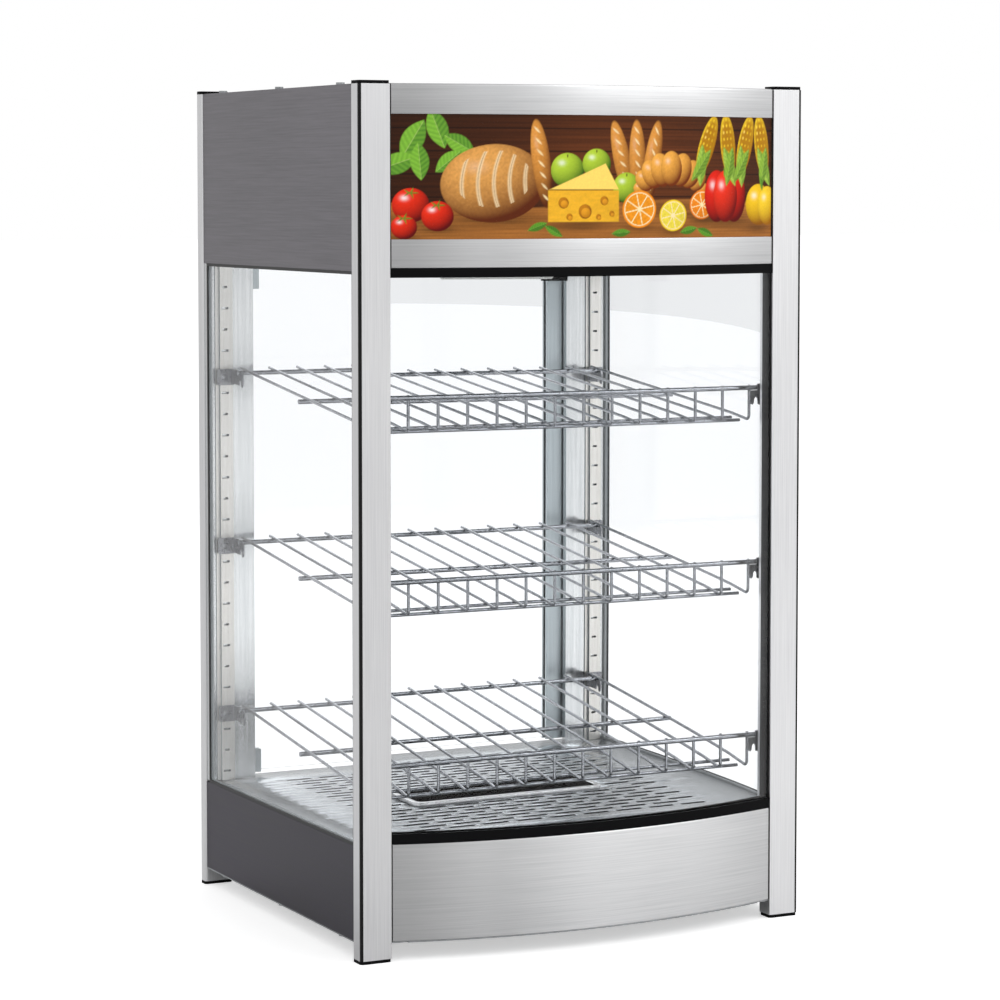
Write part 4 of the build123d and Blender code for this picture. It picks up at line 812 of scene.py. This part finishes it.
# Dial marks: printed in black on the rear base panel, a scale of strokes from 0 to 90 degrees C.
# The scale rises the way the knob's joint turns. A digit is straight strokes in a 2 by 4 mm box.
def stroke(start, end, width):
    """One printed stroke: a flat bar from start to end in (x, z) on the rear panel, 0.06 mm proud."""
    start = np.array(start)
    end = np.array(end)
    along = (end - start) / np.linalg.norm(end - start)
    side = np.array([-along[1], along[0]]) * width / 2
    start = start - along * width / 2
    end = end + along * width / 2
    flat = [start - side, end - side, end + side, start + side]
    return np.array([(x, PRINT_Y + 0.06, z) for x, z in flat])


marks = []
for place in range(10):
    angle = np.radians(SCALE_START + SCALE_STEP * place)
    way = np.array([np.sin(angle), np.cos(angle)])
    centre = np.array([KNOB_X, KNOB_Z])
    marks.append(stroke(centre + way * 22.5, centre + way * (26.0 if place % 3 == 0 else 24.6), 0.7))
DIGITS = {"0": [(-1, 2, 1, 2), (1, 2, 1, -2), (1, -2, -1, -2), (-1, -2, -1, 2)],
          "3": [(-1, 2, 1, 2), (1, 2, 1, -2), (1, -2, -1, -2), (-0.6, 0, 1, 0)],
          "6": [(1, 2, -1, 2), (-1, 2, -1, -2), (-1, -2, 1, -2), (1, -2, 1, 0), (1, 0, -1, 0)],
          "9": [(1, 0, -1, 0), (-1, 0, -1, 2), (-1, 2, 1, 2), (1, 2, 1, -2), (1, -2, -1, -2)]}
for step, number in ((0, "0"), (3, "30"), (6, "60"), (9, "90")):
    angle = np.radians(SCALE_START + SCALE_STEP * step)
    middle = np.array([KNOB_X + 32.0 * np.sin(angle), KNOB_Z + 31.0 * np.cos(angle)])
    for order, digit in enumerate(number):
        shift = (order - (len(number) - 1) / 2) * 3.6
        for x0, z0, x1, z1 in DIGITS[digit]:
            start = (middle[0] - shift - x0, middle[1] + z0)
            marks.append(stroke(start, (middle[0] - shift - x1, middle[1] + z1), 0.55))
points = np.concatenate(marks)
faces = np.arange(len(points)).reshape(-1, 4).tolist()
dial = build_mesh("dial_print", points, faces, black_rubber)
for polygon in dial.data.polygons:
    if polygon.normal.y < 0:
        polygon.flip()
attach(dial, "case")

# Picture in the header: a film with a generic market table, printed in the four process colours
# on the acrylic. Its motifs are drawn as shaded shapes, one colour for each point of a fine grid.
panel = moulded("acrylic", "#8f6a4a", "#9a7452", 0.2, 300.0, 0.02)
dress(panel, "graphic_panel")
FILM_COLUMNS = 560
FILM_ROWS = 164
FILM_WIDTH = 402.8
FILM_HEIGHT = 114.0
FILM_FOOT = 665.8
FILM_HEAD = 779.8
FILM_MIDDLE_Z = 722.8
FILM_DEPTH = 1.35
across = np.linspace(-FILM_WIDTH / 2, FILM_WIDTH / 2, FILM_COLUMNS)
upright = np.linspace(FILM_FOOT, FILM_HEAD, FILM_ROWS)
film_x, film_z = np.meshgrid(across, upright - FILM_MIDDLE_Z)
film = np.zeros((FILM_ROWS, FILM_COLUMNS, 3))
random = np.random.default_rng(11)


def mottle(step_x, step_z):
    """Value noise, 0 to 1: random numbers on a coarse grid, joined by straight lines both ways."""
    wide = int(FILM_WIDTH / step_x) + 2
    high = int(FILM_HEIGHT / step_z) + 2
    grid = random.random((high, wide))
    at_x = np.linspace(0, wide - 1, FILM_COLUMNS)
    at_z = np.linspace(0, high - 1, FILM_ROWS)
    rows = np.array([np.interp(at_x, np.arange(wide), line) for line in grid])
    return np.array([np.interp(at_z, np.arange(high), column) for column in rows.T]).T


def lay(mask, colour):
    """Lays a colour, one or one a point, over the film where the mask is 1."""
    film[:] = film + (colour - film) * np.clip(mask, 0, 1)[..., None]


def turned(x, z, wide, high, turn):
    """Distances from a centre along a turned ellipse's half axes, each 1 at its rim."""
    angle = np.radians(turn)
    u = ((film_x - x) * np.cos(angle) + (film_z - z) * np.sin(angle)) / wide
    v = (-(film_x - x) * np.sin(angle) + (film_z - z) * np.cos(angle)) / high
    return u, v


def shade(x, z, wide, high, strength=0.55):
    """A soft shadow under a motif: 1 - strength exp(-(u2 + v2))."""
    u, v = turned(x, z, wide, high, 0.0)
    film[:] = film * (1 - strength * np.exp(-(u**2 + v**2)))[..., None]


def ball(x, z, wide, high, bright, dark, gloss=0.5, turn=0.0, grain=0.0):
    """A round motif lit from the upper left, with a highlight: on a half sphere with normal n,
    light = (0.15 + 0.85 n . l) to the power 1.2."""
    u, v = turned(x, z, wide, high, turn)
    across_2 = u**2 + v**2
    lift = np.sqrt(np.clip(1 - across_2, 0, 1))
    angle = np.radians(turn)
    right = u * np.cos(angle) - v * np.sin(angle)
    up = u * np.sin(angle) + v * np.cos(angle)
    light = np.clip(0.15 + 0.85 * (-0.38 * right + 0.55 * up + 0.74 * lift), 0, 1) ** 1.2
    if grain:
        light = np.clip(light * (1 - grain + 2 * grain * mottle(1.6, 1.6)), 0, 1)
    colour = linear(dark) + (linear(bright) - linear(dark)) * light[..., None]
    spot = np.exp(-(((right + 0.34) / 0.2) ** 2 + ((up - 0.42) / 0.15) ** 2)) * gloss
    colour = colour + (1 - colour) * np.clip(spot, 0, 1)[..., None]
    lay((1 - across_2) * min(wide, high) * 0.9, colour)


def leaf(x, z, long, wide, turn, bright="#5f9a2c", dark="#1c4512"):
    """A leaf: a pointed ellipse, lighter on one half, with a pale midrib and side veins."""
    u, v = turned(x, z, long, wide, turn)
    edge = 1 - u**2 - np.abs(v)
    veins = 0.5 + 0.5 * np.sin(26 * u - 9 * np.abs(v))
    tone = np.clip(0.35 + 0.4 * (v > 0) + 0.25 * veins, 0, 1)
    lay(edge * wide * 0.9, linear(dark) + (linear(bright) - linear(dark)) * tone[..., None])
    lay((0.06 - np.abs(v)) * wide * 1.2 * (np.abs(u) < 0.9), linear("#a9c46a"))


def slice_of(x, z, size, rim, flesh, pith="#f6e2ae", turn=12.0):
    """A cut citrus: rim, pith and eight segments, segment = |sin 4 angle| above a limit."""
    u, v = turned(x, z, size, size * 0.94, turn)
    far = np.hypot(u, v)
    lay((1 - far) * size, linear(rim))
    lay((0.9 - far) * size, linear(pith))
    spoke = np.abs(np.sin(4 * np.arctan2(v, u)))
    tone = 0.75 + 0.25 * mottle(1.4, 1.4)
    lay((spoke * far - 0.09) * size * ((0.82 - far) * size > 0), linear(flesh) * tone[..., None])


# Dark planks behind and a lighter board in front, then the motifs from the rear forwards.
planks = 0.55 + 0.45 * mottle(60.0, 1.2)
joint = 1 - 0.75 * np.exp(-(((film_z + 8.0) % 21.0 - 10.5) / 0.6) ** 2)
glow = 0.2 + 0.6 * np.exp(-((film_x - 40.0) / 130.0) ** 2 - ((film_z - 10.0) / 60.0) ** 2)
film[:] = linear("#7a3f1c") * (planks * joint * glow)[..., None]
table = 0.6 + 0.4 * mottle(40.0, 0.9)
lay((-24.0 - film_z + 4.0 * np.sin(film_x / 60.0)) * 0.8, linear("#b87434") * table[..., None])
for x, z, size, turn in ((-182, 34, 21, 60), (-160, 44, 20, 110), (-196, 12, 20, 20), (-140, 30, 17, 150),
                         (-176, 14, 18, 95), (-150, 14, 16, 40)):
    leaf(x, z, size, size * 0.5, turn, "#7fb83a", "#1f5a1c")
shade(-108, -38, 52, 11)
ball(-108, -6, 50, 36, "#e0a052", "#5a2408", 0.12, 4.0, 0.16)
u, v = turned(-108, -2, 50, 36, 4.0)
for place in range(-2, 3):
    cut = np.abs(u - 0.3 * place - 0.22 * v**2 - 0.1 * v)
    lay((0.05 - cut) * 24 * ((0.72 - np.hypot(u, v)) > 0), linear("#f4dcae"))
    lay((0.018 - cut) * 40 * ((0.72 - np.hypot(u, v)) > 0), linear("#8a4a1c"))
for x, z, size in ((-184, -26, 17), (-160, -36, 15), (-190, -46, 12)):
    shade(x, z - size * 0.8, size * 1.2, 5)
    ball(x, z, size, size * 0.94, "#ee2f12", "#5c0504", 0.75)
    for spike in range(5):
        stalk_z = z + size * 0.66 + 1.6 * np.sin(1.25 * spike)
        leaf(x + 3.5 * np.cos(1.25 * spike), stalk_z, 4.6, 1.2, 72 * spike)
for x, turn in ((22, 104), (38, 92), (54, 80), (-62, 98)):
    ball(x, 12, 42, 9.5, "#dc9440", "#5a2608", 0.1, turn, 0.12)
    for step in range(-3, 4):
        far = step * 10.5
        leaf(x + far * np.cos(np.radians(turn)), 12 + far * np.sin(np.radians(turn)), 5.4, 1.5, turn + 38,
             "#f6e0b0", "#e8c88c")
for x, z, size in ((-36, 6, 17), (-6, 12, 15), (26, -10, 15)):
    shade(x, z - size * 0.8, size, 4)
    ball(x, z, size, size * 0.96, "#b6d23a", "#2f5a10", 0.55)
    lay((1.1 - np.hypot((film_x - x) * 1.2, (film_z - z - size * 0.78) * 0.5)) * 1.2, linear("#3b2410"))
# A cheese wedge: a triangle's top and a rectangle's side with round holes.
shade(-22, -44, 40, 8)
side_face = np.minimum(np.minimum(film_x + 56, 18 - film_x), np.minimum(film_z + 42, -12 - film_z))
lay(side_face, linear("#f2b52c") * (0.85 + 0.15 * mottle(6.0, 2.0))[..., None])
top_face = np.minimum(film_z + 12, np.minimum((film_x + 56) * 0.42 - (film_z + 12),
                                              (18 - film_x) * 1.7 - (film_z + 12)))
lay(top_face, linear("#fbd768"))
for x, z, size in ((-40, -24, 5.5), (-18, -32, 7), (2, -22, 4.5), (-4, -37, 3), (-34, -37, 3.5),
                   (10, -34, 3)):
    ball(x, z, size, size, "#c07a14", "#7c4606", 0.0)
    ball(x + 0.8, z - 1.2, size * 0.74, size * 0.7, "#e39c22", "#b8740f", 0.0)
# A croissant: rolled lobes along an arc.
shade(72, -30, 46, 9)
for lobe in sorted(np.linspace(-1, 1, 9), key=lambda lobe: -abs(lobe)):
    x = 76 + 38 * np.sin(lobe * 1.25)
    z = 28 * np.cos(lobe * 1.25) - 20
    size = 16.5 - 9.5 * lobe**2
    ball(x, z, size * 0.62 + 2, size * 1.02, "#f2ac48", "#6e2c08", 0.3, -lobe * 62, 0.1)
for x, z, size, rim, flesh in ((40, -30, 19, "#ef8a12", "#f79a1e"), (78, -36, 16, "#f2cf24", "#f6e04c"),
                               (112, -26, 15, "#ef7a12", "#f58a1c")):
    shade(x, z - size * 0.9, size * 1.1, 5)
    slice_of(x, z, size, rim, flesh)
# Red and yellow peppers, with corn behind.
shade(146, -42, 34, 8)
for x, bright, dark in ((130, "#e3220e", "#5a0503"), (152, "#e3220e", "#5a0503"),
                        (141, "#f2341a", "#6e0805")):
    ball(x, -18, 15, 25, bright, dark, 0.6)
leaf(141, 8, 9, 2.6, 78, "#6aa02c", "#254c10")
for x, turn in ((112, 70), (160, 76), (182, 98), (138, 96)):
    ball(x + 6, 30, 30, 9.5, "#fbd32c", "#9a6204", 0.15, turn, 0.05)
    u, v = turned(x + 6, 30, 30, 9.5, turn)
    kernel = (0.5 + 0.5 * np.cos(u * 30)) * (0.5 + 0.5 * np.cos(v * 14))
    lay((1 - u**2 - v**2) * 4 * (1 - kernel) * 0.5, linear("#b07a08"))
    husk_x = x + 6 - 20 * np.cos(np.radians(turn))
    husk_z = 30 - 20 * np.sin(np.radians(turn))
    leaf(husk_x, husk_z, 21, 6.5, turn + 16, "#a4c64a", "#3f6a18")
    leaf(husk_x, husk_z, 20, 6, turn - 18, "#8fb63c", "#33581a")
shade(184, -48, 20, 6)
ball(184, -26, 17, 20, "#f6c81e", "#8a5204", 0.55)
ball(196, -27, 13, 19, "#fbd22c", "#9a6006", 0.45)
leaf(188, -6, 8, 2.4, 100, "#6aa02c", "#254c10")
for x, z, turn in ((-66, -46, 20), (-50, -50, 150), (96, -50, 12), (116, -52, 160), (20, -52, 5)):
    leaf(x, z, 11, 4.2, turn)
grain = 0.94 + 0.12 * mottle(1.0, 1.0)
film = np.clip(film * grain[..., None], 0, 1)

reach = CURVE_RADIUS - FILM_DEPTH
film_y = CURVE_CENTRE_Y - np.sqrt(reach**2 - film_x**2)
points = np.stack([film_x, film_y, film_z + FILM_MIDDLE_Z], axis=-1).reshape(-1, 3)
numbers = np.arange(FILM_ROWS * FILM_COLUMNS).reshape(FILM_ROWS, FILM_COLUMNS)
first = numbers[:-1, :-1].reshape(-1)
faces = np.stack([first, first + 1, first + 1 + FILM_COLUMNS, first + FILM_COLUMNS], axis=1).tolist()
printed = moulded("printed film", "#ffffff", "#f6f6f6", 0.22, 500.0, 0.02)
ink = add_node(printed.node_tree, "ShaderNodeAttribute", attribute_name="ink")
surface_in = printed.node_tree.nodes["Principled BSDF"].inputs
white_film = surface_in["Base Color"].links[0].from_socket
tinted_film = add_node(printed.node_tree, "ShaderNodeMix", {"Factor": 1.0, "A": white_film,
                                                            "B": ink.outputs["Color"]}, data_type="RGBA",
                       blend_type="MULTIPLY")
printed.node_tree.links.new(tinted_film.outputs["Result"], surface_in["Base Color"])
# The ink also glows (emission 0.18): painted light, standing in for the light box's tubes shining through the
# film.
printed.node_tree.links.new(tinted_film.outputs["Result"], surface_in["Emission Color"])
surface_in["Emission Strength"].default_value = 0.18
surface_in["Specular IOR Level"].default_value = 0.15
picture_film = build_mesh("header_picture", points, faces, printed, 60.0)
colours = picture_film.data.attributes.new("ink", "FLOAT_COLOR", "POINT")
opaque = np.ones((len(points), 1))
colours.data.foreach_set("color", np.concatenate([film.reshape(-1, 3), opaque], axis=1).reshape(-1))
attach(picture_film, "case")
